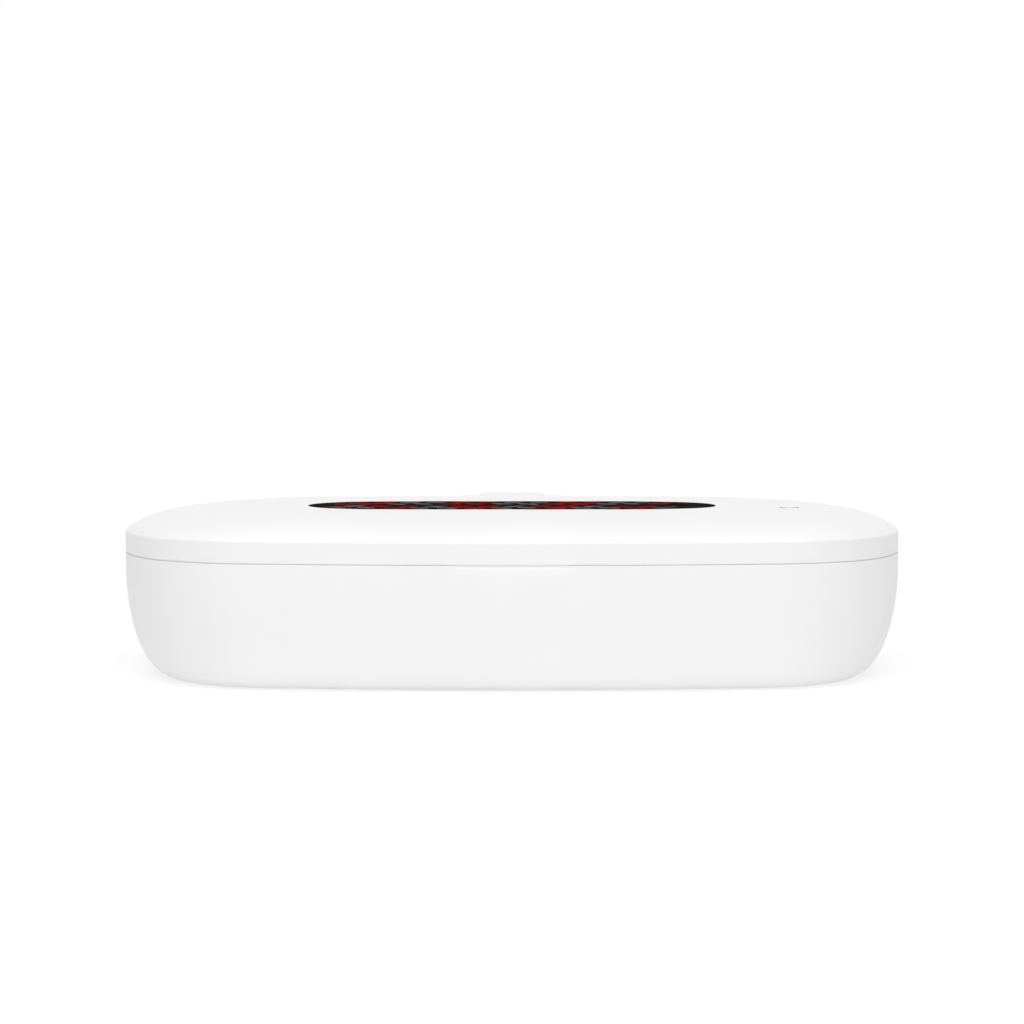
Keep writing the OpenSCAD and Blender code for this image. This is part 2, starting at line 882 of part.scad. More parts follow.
module knuckles() {
    for (side = [-1, 1])
        translate([side * (lid_gap_w + knuckle_w) / 2, 0, 0])
            bar_x(knuckle_w)
                translate([hinge_y, hinge_z])
                    circle(knuckle_r);
}

// room for the tower while the lid turns; its upper rear edge is the stop
module tower_room() {
    reach = hump_r + hump_back + past;
    bar_x(lid_gap_w) {
        translate([hinge_y, hinge_z])
            circle(hinge_cut_r);
        polygon([
            [hinge_y, hinge_z],
            [hinge_y + reach * cos(stop_edge), hinge_z + reach * sin(stop_edge)],
            [hinge_y + reach, lid_z - past],
            [hinge_y - tower_front - hinge_gap, lid_z - past],
            [hinge_y - tower_front - hinge_gap, hinge_z]]);
    }
}

module lid_liner() {
    edge = lid_wall + seat_gap;
    c = [skirt_inset + liner_wall + pan_r, pan_z - pan_r];
    meet = asin((liner_top - c.y) / (pan_r + liner_wall));
    color(bright)
        difference() {
            union() {
                shell(concat(
                    arc(c, pan_r, 90, 180, 4),
                    [[skirt_inset + liner_wall, skirt_z], [skirt_inset, skirt_z],
                     [skirt_inset, liner_z], [edge, liner_z], [edge, liner_top]],
                    arc(c, pan_r + liner_wall, 180 - meet, 90, 4)));
                at_liner_screws()
                    translate([0, 0, liner_z])
                        cylinder(d = liner_boss_d, h = liner_boss_top - liner_z);
                at_strip_pegs(lid_strip_l) {
                    translate([0, 0, pan_top - liner_wall / 2])
                        cylinder(d = standoff_d, h = lid_strip_z - pan_top + liner_wall / 2);
                    peg(pan_top, lid_strip_z + board_t + peg_head_t, lid_strip_z + board_t);
                }
                at_magnets()
                    magnet_cup(liner_top);
            }
            at_liner_screws() {
                translate([0, 0, liner_z - past])
                    cylinder(d = liner_head_d + 2 * rest_gap, h = liner_head_t + head_gap + past);
                translate([0, 0, liner_z - past])
                    cylinder(d = liner_screw_d + 2 * rest_gap, h = liner_boss_top, $fn = 24);
            }
            for (x = lid_led_x)
                translate([x, 0, 0])
                    window_seat(pan_z + window_t, pan_z - past, pan_top + past);
            translate([-lid_gap_w / 2, hinge_y - tower_front - 2 * hinge_gap, liner_z - past])
                cube([lid_gap_w, half_d, liner_wall + 2 * past]);
        }
}

module lid_windows() {
    color("#cfe0ea", 0.6)
        for (x = lid_led_x)
            translate([x, 0, pan_z])
                cylinder(d = window_d, h = window_t);
}

module lid_uv_leds() {
    color("#e9d9a0")
        for (x = lid_led_x)
            translate([x, 0, lid_strip_z])
                rotate([180, 0, 0])
                    uv_led();
}

module lid_led_board() {
    color("#e8e8e4")
        strip_board(lid_strip_l, lid_strip_z);
}

module charging_coil() {
    color("#b8682c")
        translate([0, 0, coil_z])
            difference() {
                cylinder(d = coil_d, h = coil_t, $fn = 72);
                translate([0, 0, -past])
                    cylinder(d = coil_hole_d, h = coil_t + 2 * past, $fn = 72);
            }
}

module ferrite_sheet() {
    side = coil_d + 2 * ferrite_margin;
    color("#3a3b3e")
        translate([-side / 2, -side / 2, coil_z - ferrite_t])
            cube([side, side, ferrite_t]);
}

module lid_board() {
    color(board_green)
        difference() {
            translate([lid_board_x - lid_board_l / 2, button_y - lid_board_w / 2, lid_board_z])
                cube([lid_board_l, lid_board_w, board_t]);
            at_lid_board_screws()
                translate([0, 0, lid_board_z - past])
                    cylinder(d = small_screw_d + 2 * rest_gap, h = board_t + 2 * past, $fn = 24);
        }
}

module lid_board_parts() {
    color("#2b2d30")
        translate([lid_board_x, button_y, lid_board_top]) {
            translate([-lid_board_l * 0.24, -lid_board_w * 0.36, 0])
                cube([chip_w, chip_w, chip_h]);
            translate([lid_board_l * 0.12, lid_board_w * 0.18, 0])
                cube([driver_l, chip_w, driver_h]);
            translate([lid_board_l * 0.12, -lid_board_w * 0.36, 0])
                cube([charger_chip_w, charger_chip_w, charger_chip_h]);
        }
}

module switch_body() {
    color("#26282b")
        difference() {
            translate([button_x - switch_w / 2, button_y - switch_w / 2, lid_board_top])
                cube([switch_w, switch_w, switch_h]);
            translate([button_x, button_y, plunger_z - button_travel - plunger_floor])
                cylinder(d = plunger_d + 2 * plunger_gap, h = switch_h, $fn = 32);
        }
}

module lid_magnets() {
    color(steel)
        at_magnets()
            translate([0, 0, liner_top])
                cylinder(d = magnet_d, h = magnet_t);
}

module liner_screws() {
    liner_screw_l = liner_post_z + post_depth() - liner_z - liner_head_t - head_gap - blind_gap;
    color(steel)
        at_liner_screws() {
            translate([0, 0, liner_z + head_gap])
                cylinder(d = liner_head_d, h = liner_head_t);
            translate([0, 0, liner_z + head_gap + liner_head_t])
                cylinder(d = liner_screw_d, h = liner_screw_l, $fn = 24);
        }
}

// heads up against the board's lower face
module lid_board_screws() {
    color(steel)
        at_lid_board_screws() {
            translate([0, 0, lid_board_z - board_head_t])
                cylinder(d = small_head_d, h = board_head_t);
            translate([0, 0, lid_board_z])
                cylinder(d = small_screw_d, h = board_t + lid_pilot_l - blind_gap, $fn = 24);
        }
}

// ---- button ----

module button_cap() {
    flange_z0 = cap_flange_top - cap_flange_t;
    stem_r = stem_d / 2;
    color(white)
        translate([button_x, button_y, 0])
            rotate_extrude()
                polygon([
                    [0, plunger_top], [stem_r, plunger_top], [stem_r, flange_z0],
                    [cap_flange_d / 2, flange_z0], [cap_flange_d / 2, cap_flange_top],
                    [button_d / 2, cap_flange_top], [button_d / 2, cap_top - cap_bevel],
                    [button_d / 2 - cap_bevel, cap_top], [0, cap_top]]);
}

module switch_plunger() {
    color("#4a4c50")
        translate([button_x, button_y, plunger_z])
            cylinder(d = plunger_d, h = plunger_top - plunger_z, $fn = 32);
}

base_shell();
chamber_tray();
base_windows();
base_uv_leds();
base_led_board();
main_board();
board_parts();
usb_socket();
board_screws();
tray_screws();
rubber_feet();
base_magnets();
lid_sensor();
hinge_pin();
lid_cover();
lid_liner();
lid_windows();
lid_uv_leds();
lid_led_board();
charging_coil();
ferrite_sheet();
lid_board();
lid_board_parts();
switch_body();
lid_magnets();
liner_screws();
lid_board_screws();
button_cap();
switch_plunger();
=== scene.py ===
"""UV sanitizer box for phones, closed, on a white table.

A bowl-shaped base and a domed lid on a rear hinge, both moulded in white satin ABS, with a bright
metallised tray and liner inside and one round button on the lid. Pieces are modelled in
millimetres in the frame of the CAD model, and brought to metres when they are finished.
"""
import math
import random
from contextlib import contextmanager

import bmesh
import bpy
from mathutils import Matrix, Vector


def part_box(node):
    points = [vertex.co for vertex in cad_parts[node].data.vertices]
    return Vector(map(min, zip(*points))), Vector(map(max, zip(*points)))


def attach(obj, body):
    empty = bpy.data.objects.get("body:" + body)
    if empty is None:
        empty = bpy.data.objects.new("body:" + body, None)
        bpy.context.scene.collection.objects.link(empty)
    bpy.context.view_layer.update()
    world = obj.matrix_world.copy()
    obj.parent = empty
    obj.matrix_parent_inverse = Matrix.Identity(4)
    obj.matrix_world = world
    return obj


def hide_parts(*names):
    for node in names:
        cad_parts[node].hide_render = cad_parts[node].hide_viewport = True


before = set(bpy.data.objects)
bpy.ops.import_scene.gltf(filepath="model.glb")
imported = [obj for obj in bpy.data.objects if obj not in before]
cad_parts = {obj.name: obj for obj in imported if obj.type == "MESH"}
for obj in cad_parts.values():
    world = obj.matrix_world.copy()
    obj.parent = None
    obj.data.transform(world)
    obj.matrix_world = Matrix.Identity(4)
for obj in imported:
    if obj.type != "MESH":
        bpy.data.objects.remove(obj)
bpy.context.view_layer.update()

MM = 0.001

# ---------------------------------------------------------------- sizes of the case, in millimetres
HALF_L, HALF_D = 110.0, 61.0
CORNER_R, FRONT_BULGE, END_BULGE = 42.0, 4.4, 3.6
CORNER_X = HALF_L - CORNER_R - END_BULGE
CORNER_Y = HALF_D - CORNER_R - FRONT_BULGE
FRONT_R = CORNER_R + FRONT_BULGE / 2 + CORNER_X ** 2 / (2 * FRONT_BULGE)
END_R = CORNER_R + END_BULGE / 2 + CORNER_Y ** 2 / (2 * END_BULGE)
FRONT_C = FRONT_R - HALF_D
END_C = HALF_L - END_R
FRONT_TURN = math.atan2(CORNER_X, CORNER_Y + FRONT_C)
END_TURN = math.atan2(CORNER_Y, CORNER_X - END_C)

BASE_FLOOR, BASE_WALL = 0.3, 2.2          # flat bottom over the feet, wall
BASE_ROUND_W, BASE_ROUND_H = 12.0, 30.0   # the bowl's lower rounding, seen in section
RIM_Z, FLANGE_Z, FLANGE_TOP = 34.6, 32.7, 34.2
RIM_TOP, LIP_Z, LIP_IN, EDGE_Z, EDGE_SOFT = 34.64, 34.68, 0.3, 34.94, 0.12   # parting line
LEDGE_IN, LEDGE_T = 4.2, 1.0
TRAY_WALL, TRAY_FLOOR = 1.5, 17.0
CHAMBER_IN, CHAMBER_DRAFT, CHAMBER_R = 14.5, 1.5, 4.0

LID_Z, CREASE_Z, TOP_Z, LID_WALL = 35.0, 40.65, 47.2, 2.0
CROWN_SPAN, CROWN_OVER = 25.0, 2.4
REAR_SPAN, REAR_CORNER_SPAN = 17.0, 27.0   # the crown rolls off faster behind, slower at its corners
CROWN_A = CROWN_SPAN + CROWN_OVER
CROWN_B = (TOP_Z - CREASE_Z) / (1 - math.sqrt(1 - (CROWN_SPAN / CROWN_A) ** 2))
CROWN_C = TOP_Z - CROWN_B
LINER_Z, LINER_WALL, SKIRT_IN, SKIRT_Z = 35.3, 1.5, 15.2, 33.0
PAN_Z, PAN_R = 37.6, 2.5

HINGE_Y, HINGE_Z = 59.0, 42.0
TOWER_W, TOWER_R, TOWER_FRONT, TOWER_BACK = 26.0, 3.6, 2.6, 1.6
HINGE_GAP, HUMP_R, KNUCKLE_R, KNUCKLE_W = 0.4, 5.4, 3.7, 4.4
LID_GAP_W = TOWER_W + 2 * HINGE_GAP
DECK_Z, HUMP_TOP_W, HUMP_BACK_Y = HINGE_Z + HUMP_R + 0.2, 17.0, 63.3
STOP_EDGE = math.radians(100 - math.degrees(math.acos(TOWER_BACK / (TOWER_R + HINGE_GAP))) + 5)
PIN_D, PIN_HALF_L, PIN_GAP = 2.0, 17.6, 0.05

BUTTON_X, BUTTON_Y, BUTTON_R, BUTTON_GAP = 78.0, -13.0, 2.1, 0.68
NOTCH_L, NOTCH_H, NOTCH_IN, NOTCH_SOFT = 31.5, 3.3, 0.4, 1.6
FEET = [(sx * 66.0, sy * 30.0) for sx in (-1, 1) for sy in (-1, 1)]
EDGE_IN = 8.5
BASE_LEDS = [-36.0, 0.0, 36.0]
LID_LEDS = [-48.0, -16.0, 16.0, 48.0]
USB_Z = 10.45


# ---------------------------------------------------------------- small tools for modelling
def select_only(*pieces):
    """Selects these pieces and nothing else; the first becomes the active one."""
    bpy.ops.object.select_all(action="DESELECT")
    for piece in pieces:
        piece.select_set(True)
    bpy.context.view_layer.objects.active = pieces[0]


def named(name):
    """Names the primitive that was just added."""
    piece = bpy.context.active_object
    piece.name = piece.data.name = name
    return piece


@contextmanager
def editing(piece, mode):
    """Edit mode on one piece, selecting by faces or by edges, for the lines inside the with block."""
    select_only(piece)
    bpy.ops.object.mode_set(mode="EDIT")
    bpy.ops.mesh.select_mode(type=mode)
    yield
    bpy.ops.object.mode_set(mode="OBJECT")


def drawn(name, outline, rows):
    """Closed form drawn up from a flat outline. Rows are (inset, height), from the middle of its
    lower face to the middle of its upper one; outline(inset) gives the points of one row."""
    points = outline(rows[0][0])
    bpy.ops.mesh.primitive_circle_add(vertices=len(points), fill_type="NGON")
    piece = named(name)
    for vertex, (x, y) in zip(piece.data.vertices, points):
        vertex.co = (x, y, rows[0][1])
    with editing(piece, "FACE"):
        bpy.ops.mesh.select_all(action="SELECT")
        form = bmesh.from_edit_mesh(piece.data)
        place = {tuple(v.co): i for i, v in enumerate(form.verts)}
        for inset, height in rows[1:]:
            bpy.ops.mesh.extrude_region_move()
            form = bmesh.from_edit_mesh(piece.data)
            points = outline(inset)
            moved = {}
            for vertex in form.verts:
                if vertex.select:
                    index = place[tuple(vertex.co)]
                    vertex.co = (*points[index], height)
                    moved[tuple(vertex.co)] = index
            place = moved
            bmesh.update_edit_mesh(piece.data)
        bpy.ops.mesh.select_all(action="SELECT")
        bpy.ops.mesh.normals_make_consistent(inside=False)
    return piece


def rounded(corners, steps=4):
    """A line through (x, y, radius) corners, each rounded by its radius."""
    line = []
    for i, (x, y, r) in enumerate(corners):
        here = Vector((x, y))
        if r <= 0 or i in (0, len(corners) - 1):
            line.append((x, y))
            continue
        before = Vector(corners[i - 1][:2]) - here
        after = Vector(corners[i + 1][:2]) - here
        turn = before.angle(after)
        reach = min(r / math.tan(turn / 2), before.length * 0.49, after.length * 0.49)
        start = here + before.normalized() * reach
        end = here + after.normalized() * reach
        for k in range(steps + 1):
            t = k / steps
            line.append(tuple((1 - t) ** 2 * start + 2 * t * (1 - t) * here + t * t * end))
    return line


def arc(cx, cy, rx, ry, start, end, steps):
    """Points of an elliptic arc, from start to end in degrees."""
    turns = [math.radians(start + (end - start) * i / steps) for i in range(steps + 1)]
    return [(cx + rx * math.cos(t), cy + ry * math.sin(t)) for t in turns]


def ring(cx, cy, r, steps=48):
    """Outline of a round piece; an inset shrinks it."""
    return lambda inset: [
        (cx + (r - inset) * math.cos(2 * math.pi * i / steps),
         cy + (r - inset) * math.sin(2 * math.pi * i / steps)) for i in range(steps)]


def turned(name, x, y, rows, steps=48):
    """Round piece about an upright axis. Rows are (radius, height)."""
    return drawn(name, ring(x, y, 0, steps), [(-r, z) for r, z in rows])


def turned_at(name, places, rows, steps=32):
    """The same round form at each of the (x, y) places."""
    return [turned(name, x, y, rows, steps) for x, y in places]


def block(name, low, high, soft=0.0, segments=2):
    """Box from its low corner to its high one; its edges are bevelled if soft says by how much."""
    centre = [(a + b) / 2 for a, b in zip(low, high)]
    bpy.ops.mesh.primitive_cube_add(size=1, location=centre, scale=[b - a for a, b in zip(low, high)])
    piece = named(name)
    bpy.ops.object.transform_apply(location=True, rotation=True, scale=True)
    if soft:
        with editing(piece, "EDGE"):
            bpy.ops.mesh.select_all(action="SELECT")
            bpy.ops.mesh.bevel(offset=soft, segments=segments)
    return piece


def prism(name, profile, x0, x1):
    """Bar along X whose section is a list of (y, z)."""
    piece = drawn(name, lambda inset: profile, [(0, x0), (0, x1)])
    piece.data.transform(Matrix(((0, 0, 1, 0), (1, 0, 0, 0), (0, 1, 0, 0), (0, 0, 0, 1))))
    return piece


def joined(name, pieces):
    """One piece made of several."""
    select_only(*pieces)
    if len(pieces) > 1:
        bpy.ops.object.join()
    return named(name)


def copies(piece, places):
    """The piece and copies of it, each with its own mesh, moved to (x, y) places and numbered."""
    name, made = piece.name, []
    for i, (x, y) in enumerate(places):
        twin = piece if i == len(places) - 1 else piece.copy()
        if twin is not piece:
            twin.data = piece.data.copy()
            bpy.context.scene.collection.objects.link(twin)
        twin.name = twin.data.name = f"{name}_{i + 1}"
        twin.data.transform(Matrix.Translation((x, y, 0)))
        made.append(twin)
    return made


def combine(piece, other, how):
    """Adds another form to a piece, or cuts it out of it."""
    tool = piece.modifiers.new(how.lower(), "BOOLEAN")
    tool.operation, tool.object, tool.solver = how, other, "EXACT"
    select_only(piece)
    bpy.ops.object.modifier_apply(modifier=tool.name)
    bpy.data.objects.remove(other)


def add(piece, other):
    combine(piece, other, "UNION")


def cut(piece, other):
    combine(piece, other, "DIFFERENCE")


# ---------------------------------------------------------------- outline and sections of the case
def rear_stops():
    """Turns along the rear arc, close together where the hinge hump is."""
    near, coarse, fine = 27, 8, 72     # half width of the close part; steps outside and inside it
    xs = [CORNER_X - (CORNER_X - near) * i / coarse for i in range(coarse)]
    xs += [near - 2 * near * i / fine for i in range(fine)]
    xs += [-near - (CORNER_X - near) * i / coarse for i in range(coarse)]
    return [math.pi / 2 - math.asin(x / FRONT_R) for x in xs]


def even_stops(start, end, steps):
    """Evenly spaced values from a start up to an end, without the end."""
    return [start + (end - start) * i / steps for i in range(steps)]


QUARTER = math.pi / 2
ARCS = [
    ((END_C, 0), END_R, even_stops(-END_TURN, END_TURN, 14)),
    ((CORNER_X, CORNER_Y), CORNER_R, even_stops(END_TURN, QUARTER - FRONT_TURN, 24)),
    ((0, -FRONT_C), FRONT_R, rear_stops()),
    ((-CORNER_X, CORNER_Y), CORNER_R, even_stops(QUARTER + FRONT_TURN, 2 * QUARTER - END_TURN, 24)),
    ((-END_C, 0), END_R, even_stops(2 * QUARTER - END_TURN, 2 * QUARTER + END_TURN, 14)),
    ((-CORNER_X, -CORNER_Y), CORNER_R, even_stops(2 * QUARTER + END_TURN, 3 * QUARTER - FRONT_TURN, 24)),
    ((0, FRONT_C), FRONT_R, even_stops(3 * QUARTER - FRONT_TURN, 3 * QUARTER + FRONT_TURN, 36)),
    ((CORNER_X, -CORNER_Y), CORNER_R, even_stops(3 * QUARTER + FRONT_TURN, 4 * QUARTER - END_TURN, 24)),
]


def case_outline(inset):
    """The case's outline at an inset: arcs that meet without a kink."""
    return [(c[0] + (r - inset) * math.cos(t), c[1] + (r - inset) * math.sin(t))
            for c, r, stops in ARCS for t in stops]


def rear_y(x, inset=0.0):
    """How far behind the middle the case's rear face is at x."""
    return math.sqrt((FRONT_R - inset) ** 2 - x * x) - FRONT_C


def corner_place(inset):
    """Place halfway round a corner, at an inset."""
    share = math.cos(math.radians(45))
    return CORNER_X + (CORNER_R - inset) * share, CORNER_Y + (CORNER_R - inset) * share


def crown_z(inset, inside=0.0):
    """Height of the crown at an inset."""
    reach = max(0.0, CROWN_SPAN - inset) / (CROWN_A - inside)
    return CROWN_C + (CROWN_B - inside) * math.sqrt(1 - reach * reach)


def crown_rows(inside, steps):
    """Rows of the crown from the crease to the top, or of a surface that lies inside it."""
    a, b = CROWN_A - inside, CROWN_B - inside
    first = math.degrees(math.acos((CROWN_SPAN - inside) / a))
    return arc(CROWN_SPAN, CROWN_C, -a, b, first, 90, steps)


def base_rows(inside, steps):
    """Rows of the bowl's lower rounding, or of a surface that lies inside it."""
    w, h = BASE_ROUND_W - inside, BASE_ROUND_H - inside
    return arc(BASE_ROUND_W, BASE_FLOOR + BASE_ROUND_H, -w, -h, 90, 0, steps)


def smooth(t):
    """Soft step from 0 to 1 as t goes from 0 to 1."""
    t = min(max(t, 0.0), 1.0)
    return t * t * (3 - 2 * t)


LINER_SCREWS = ([(sx * corner_place(EDGE_IN)[0], sy * corner_place(EDGE_IN)[1])
                 for sx in (-1, 1) for sy in (-1, 1)]
                + [(sx * 29.5, rear_y(29.5, EDGE_IN)) for sx in (-1, 1)] + [(0, -rear_y(0, EDGE_IN))])
MAGNETS = [(sx * 45.0, -rear_y(45.0, EDGE_IN)) for sx in (-1, 1)]
BOARD_SCREWS = [(sx * 19.0, y) for sx in (-1, 1) for y in (22.0, 50.0)]
LID_BOARD_SCREWS = [(65.0, BUTTON_Y + sy * 11.0) for sy in (-1, 1)]


# ---------------------------------------------------------------- camera
frame_px, lens_px = 1024, 2476.6        # the frame's width and the focal length, in pixels
camera_place, camera_dip = (0, -0.70904, 0.08891), 3.5372       # metres; degrees below level
camera_data = bpy.data.cameras.new("front_camera")
camera = bpy.data.objects.new("front_camera", camera_data)
bpy.context.scene.collection.objects.link(camera)
camera_data.sensor_width = 36.0
camera_data.lens = lens_px * camera_data.sensor_width / frame_px
camera_data.clip_start, camera_data.clip_end = 0.01, 50
camera.location = camera_place
camera.rotation_euler = (math.radians(90 - camera_dip), 0, 0)
bpy.context.scene.camera = camera
bpy.context.scene.view_settings.view_transform = "Standard"


# ---------------------------------------------------------------- materials
def linear(code):
    """sRGB hex to linear RGBA."""
    parts = [int(code[i:i + 2], 16) / 255 for i in (1, 3, 5)]
    return [c / 12.92 if c <= 0.04045 else ((c + 0.055) / 1.055) ** 2.4 for c in parts] + [1.0]


def node(tree, kind, inputs=None, stops=(), **settings):
    """Adds a node with its settings and links. An input is a value, or the node or output that
    feeds it; stops are the places and colours of a ramp."""
    made = tree.nodes.new("ShaderNode" + kind)
    for name, value in settings.items():
        setattr(made, name, value)
    for name, value in (inputs or {}).items():
        if isinstance(value, bpy.types.Node):
            value = value.outputs[0]
        if isinstance(value, bpy.types.NodeSocket):
            tree.links.new(value, made.inputs[name])
        else:
            made.inputs[name].default_value = value
    for k, (at, code) in enumerate(stops):
        marks = made.color_ramp.elements
        mark = marks[k] if k < len(marks) else marks.new(at)
        mark.position, mark.color = at, linear(code)
    return made


def per_mm(size):
    """Texture scale at which one feature measures this many millimetres."""
    return 1 / (size * MM)


def finish(name):
    """A new material, its empty tree, and the object's own coordinates in it."""
    made = bpy.data.materials.new(name)
    made.use_nodes = True
    made.node_tree.nodes.clear()
    return made, made.node_tree, node(made.node_tree, "TexCoord").outputs["Object"]


def mottled(name, tone, gloss, relief=None, sockets=None):
    """A material whose tone, gloss and relief each vary with a noise of their own. tone is a size in
    mm, a detail and the stops of a ramp; gloss is one roughness, or a size, a detail and a range;
    relief is a size, a detail, a depth in mm and a strength; sockets are the shader's other inputs."""
    made, t, place = finish(name)
    size, detail, *stops = tone
    patches = node(t, "TexNoise", {"Vector": place, "Scale": per_mm(size), "Detail": detail})
    given = {"Base Color": node(t, "ValToRGB", {"Fac": patches}, stops=stops), "Roughness": gloss}
    if isinstance(gloss, tuple):
        size, detail, low, high = gloss
        wear = node(t, "TexNoise", {"Vector": place, "Scale": per_mm(size), "Detail": detail})
        given["Roughness"] = node(t, "MapRange", {"Value": wear, "To Min": low, "To Max": high})
    if relief:
        size, detail, depth, strength = relief
        grain = node(t, "TexNoise", {"Vector": place, "Scale": per_mm(size), "Detail": detail})
        given["Normal"] = node(t, "Bump", {"Height": grain, "Distance": depth * MM, "Strength": strength})
    skin = node(t, "BsdfPrincipled", {**given, **(sockets or {})})
    node(t, "OutputMaterial", {"Surface": skin})
    return made


# ABS, injection moulded against a spark-eroded tool: white and satin, with a fine even grain, a
# faint unevenness of tone where the melt flowed, and gloss that varies a little from handling.
# The grain is 0.15 mm on the real one and drawn at 0.4 mm, so that it just shows.
abs_white = mottled("abs_white_satin", (28, 3.0, (0.3, "#f3f3f3"), (0.7, "#f5f5f5")),
                    (9, 3.0, 0.38, 0.46), (0.4, 2.0, 0.012, 0.5), {"IOR": 1.53})

# ABS of the button: a tighter grain, and a little smoother where fingers polish it.
abs_button = mottled("abs_white_button", (3, 2.0, (0.3, "#f0f0f0"), (0.7, "#f4f4f4")),
                     (1.2, 2.0, 0.3, 0.38), (0.3, 2.0, 0.006, 0.5), {"IOR": 1.53})

# ABS with vacuum-deposited aluminium under a clear lacquer: a bright mirror, softened by the
# orange peel of the lacquer and by faint cloudy patches.
mirror_abs = mottled("abs_vacuum_metallised", (22, 2.0, (0.35, "#d6dadd"), (0.65, "#e0e3e5")),
                     (6, 3.0, 0.12, 0.22), (2.2, 2.0, 0.012, 0.4),
                     {"Metallic": 1.0, "Coat Weight": 0.35, "Coat Roughness": 0.08})

# Fused quartz, polished: clear, with a faint bluish body and fine wipe marks.
quartz, t, place = finish("quartz_polished")
wipes = node(t, "TexNoise", {"Vector": place, "Scale": per_mm(1.5), "Detail": 3.0})
gloss = node(t, "MapRange", {"Value": wipes, "To Min": 0.0, "To Max": 0.05})
clear = node(t, "BsdfPrincipled", {"Base Color": linear("#eef6fa"), "Roughness": gloss, "IOR": 1.46,
                                   "Transmission Weight": 1.0})
node(t, "OutputMaterial", {"Surface": clear})

# Alumina ceramic of an LED package, fired: matt ivory with fine specks and a sandy face.
alumina = mottled("alumina_fired_matt", (0.25, 3.0, (0.35, "#d8d2c0"), (0.65, "#ece7d8")), 0.55,
                  (0.12, 2.0, 0.008, 0.5), {"IOR": 1.6})

# Gold, plated over nickel on contacts and pads: warm, a little cloudy where the bath ran thin.
gold = mottled("gold_plated_contact", (0.4, 2.0, (0.4, "#c99a3d"), (0.6, "#e3bd69")),
               (0.2, 2.0, 0.18, 0.34), None, {"Metallic": 1.0})

# Sapphire die of a UV emitter, polished over violet-grey layers that show through in patches.
die = mottled("sapphire_uv_die", (0.25, 1.0, (0.4, "#3b3550"), (0.6, "#6a6288")), 0.15, None,
              {"IOR": 1.76, "Coat Weight": 0.8})

# White solder mask, screen printed on an aluminium strip: glossy, faintly raised over its tracks.
white_mask = mottled("solder_mask_white", (4, 2.0, (0.4, "#dcdcd6"), (0.6, "#ebebe6")), 0.3,
                     (1.6, 1.0, 0.02, 0.4), {"Coat Weight": 0.3})

# Green solder mask over copper on glass fibre: the tracks show lighter and stand up under it.
green_mask, t, place = finish("solder_mask_green")
tracks = node(t, "TexBrick", {"Vector": place, "Scale": per_mm(2.4), "Mortar Size": 0.09,
                              "Brick Width": 2.7, "Row Height": 0.55, "Mortar": linear("#1f7444"),
                              "Color1": linear("#12512f"), "Color2": linear("#165936")})
cloud = node(t, "TexNoise", {"Vector": place, "Scale": per_mm(2), "Detail": 2.0})
gloss = node(t, "MapRange", {"Value": cloud, "To Min": 0.22, "To Max": 0.34})
relief = node(t, "Bump", {"Height": tracks.outputs["Fac"], "Distance": 0.03 * MM, "Strength": 0.5})
skin = node(t, "BsdfPrincipled", {"Base Color": tracks, "Roughness": gloss, "Coat Weight": 0.4,
                                  "Normal": relief})
node(t, "OutputMaterial", {"Surface": skin})

# Filled epoxy of chips, inductors and capacitors, transfer moulded: black, dull, finely pitted.
epoxy = mottled("epoxy_moulded_black", (1.2, 3.0, (0.4, "#1b1c1e"), (0.6, "#27282b")), 0.5,
                (0.15, 2.0, 0.006, 0.5))

# Tin-plated steel of the socket, deep drawn: fine lines that run along the plug's way.
tin_steel, t, place = finish("steel_tin_plated")
drawn_out = node(t, "Mapping", {"Vector": place, "Scale": (6.0, 0.15, 6.0)})
lines = node(t, "TexNoise", {"Vector": drawn_out, "Scale": per_mm(0.5), "Detail": 3.0})
tone = node(t, "ValToRGB", {"Fac": lines}, stops=((0.35, "#aeb1b4"), (0.65, "#c3c6c9")))
gloss = node(t, "MapRange", {"Value": lines, "To Min": 0.22, "To Max": 0.38})
skin = node(t, "BsdfPrincipled", {"Base Color": tone, "Roughness": gloss, "Metallic": 1.0})
node(t, "OutputMaterial", {"Surface": skin})

# Zinc-plated, blue-passivated steel of the screws: a cool bloom over softly tumbled edges.
zinc_steel = mottled("steel_zinc_plated", (0.9, 3.0, (0.35, "#a7acb3"), (0.65, "#c2c5c9")),
                     (0.5, 2.0, 0.25, 0.42), (0.3, 2.0, 0.01, 0.4), {"Metallic": 1.0})

# Steel of the hinge pin, centreless ground: fine marks that run round it.
ground_steel, t, place = finish("steel_ground")
round_it = node(t, "Mapping", {"Vector": place, "Scale": (5.0, 0.3, 0.3)})
marks = node(t, "TexNoise", {"Vector": round_it, "Scale": per_mm(0.4), "Detail": 3.0})
tone = node(t, "ValToRGB", {"Fac": marks}, stops=((0.35, "#9b9da0"), (0.65, "#b4b6b8")))
gloss = node(t, "MapRange", {"Value": marks, "To Min": 0.18, "To Max": 0.34})
skin = node(t, "BsdfPrincipled", {"Base Color": tone, "Roughness": gloss, "Metallic": 1.0})
node(t, "OutputMaterial", {"Surface": skin})

# Nickel plated on a sintered magnet: bright and warm, over a softly dimpled body.
nickel = mottled("nickel_plated_magnet", (1.5, 2.0, (0.35, "#b9b5ab"), (0.65, "#cbc7be")), 0.16,
                 (0.6, 2.0, 0.01, 0.4), {"Metallic": 1.0})

# Thermoplastic rubber of the feet, moulded: mid grey, matt, grained, with dust that lightens it.
rubber = mottled("rubber_grey_moulded", (2.5, 4.0, (0.35, "#707376"), (0.65, "#85888b")), 0.8,
                 (0.25, 2.0, 0.03, 0.6), {"Sheen Weight": 0.15})

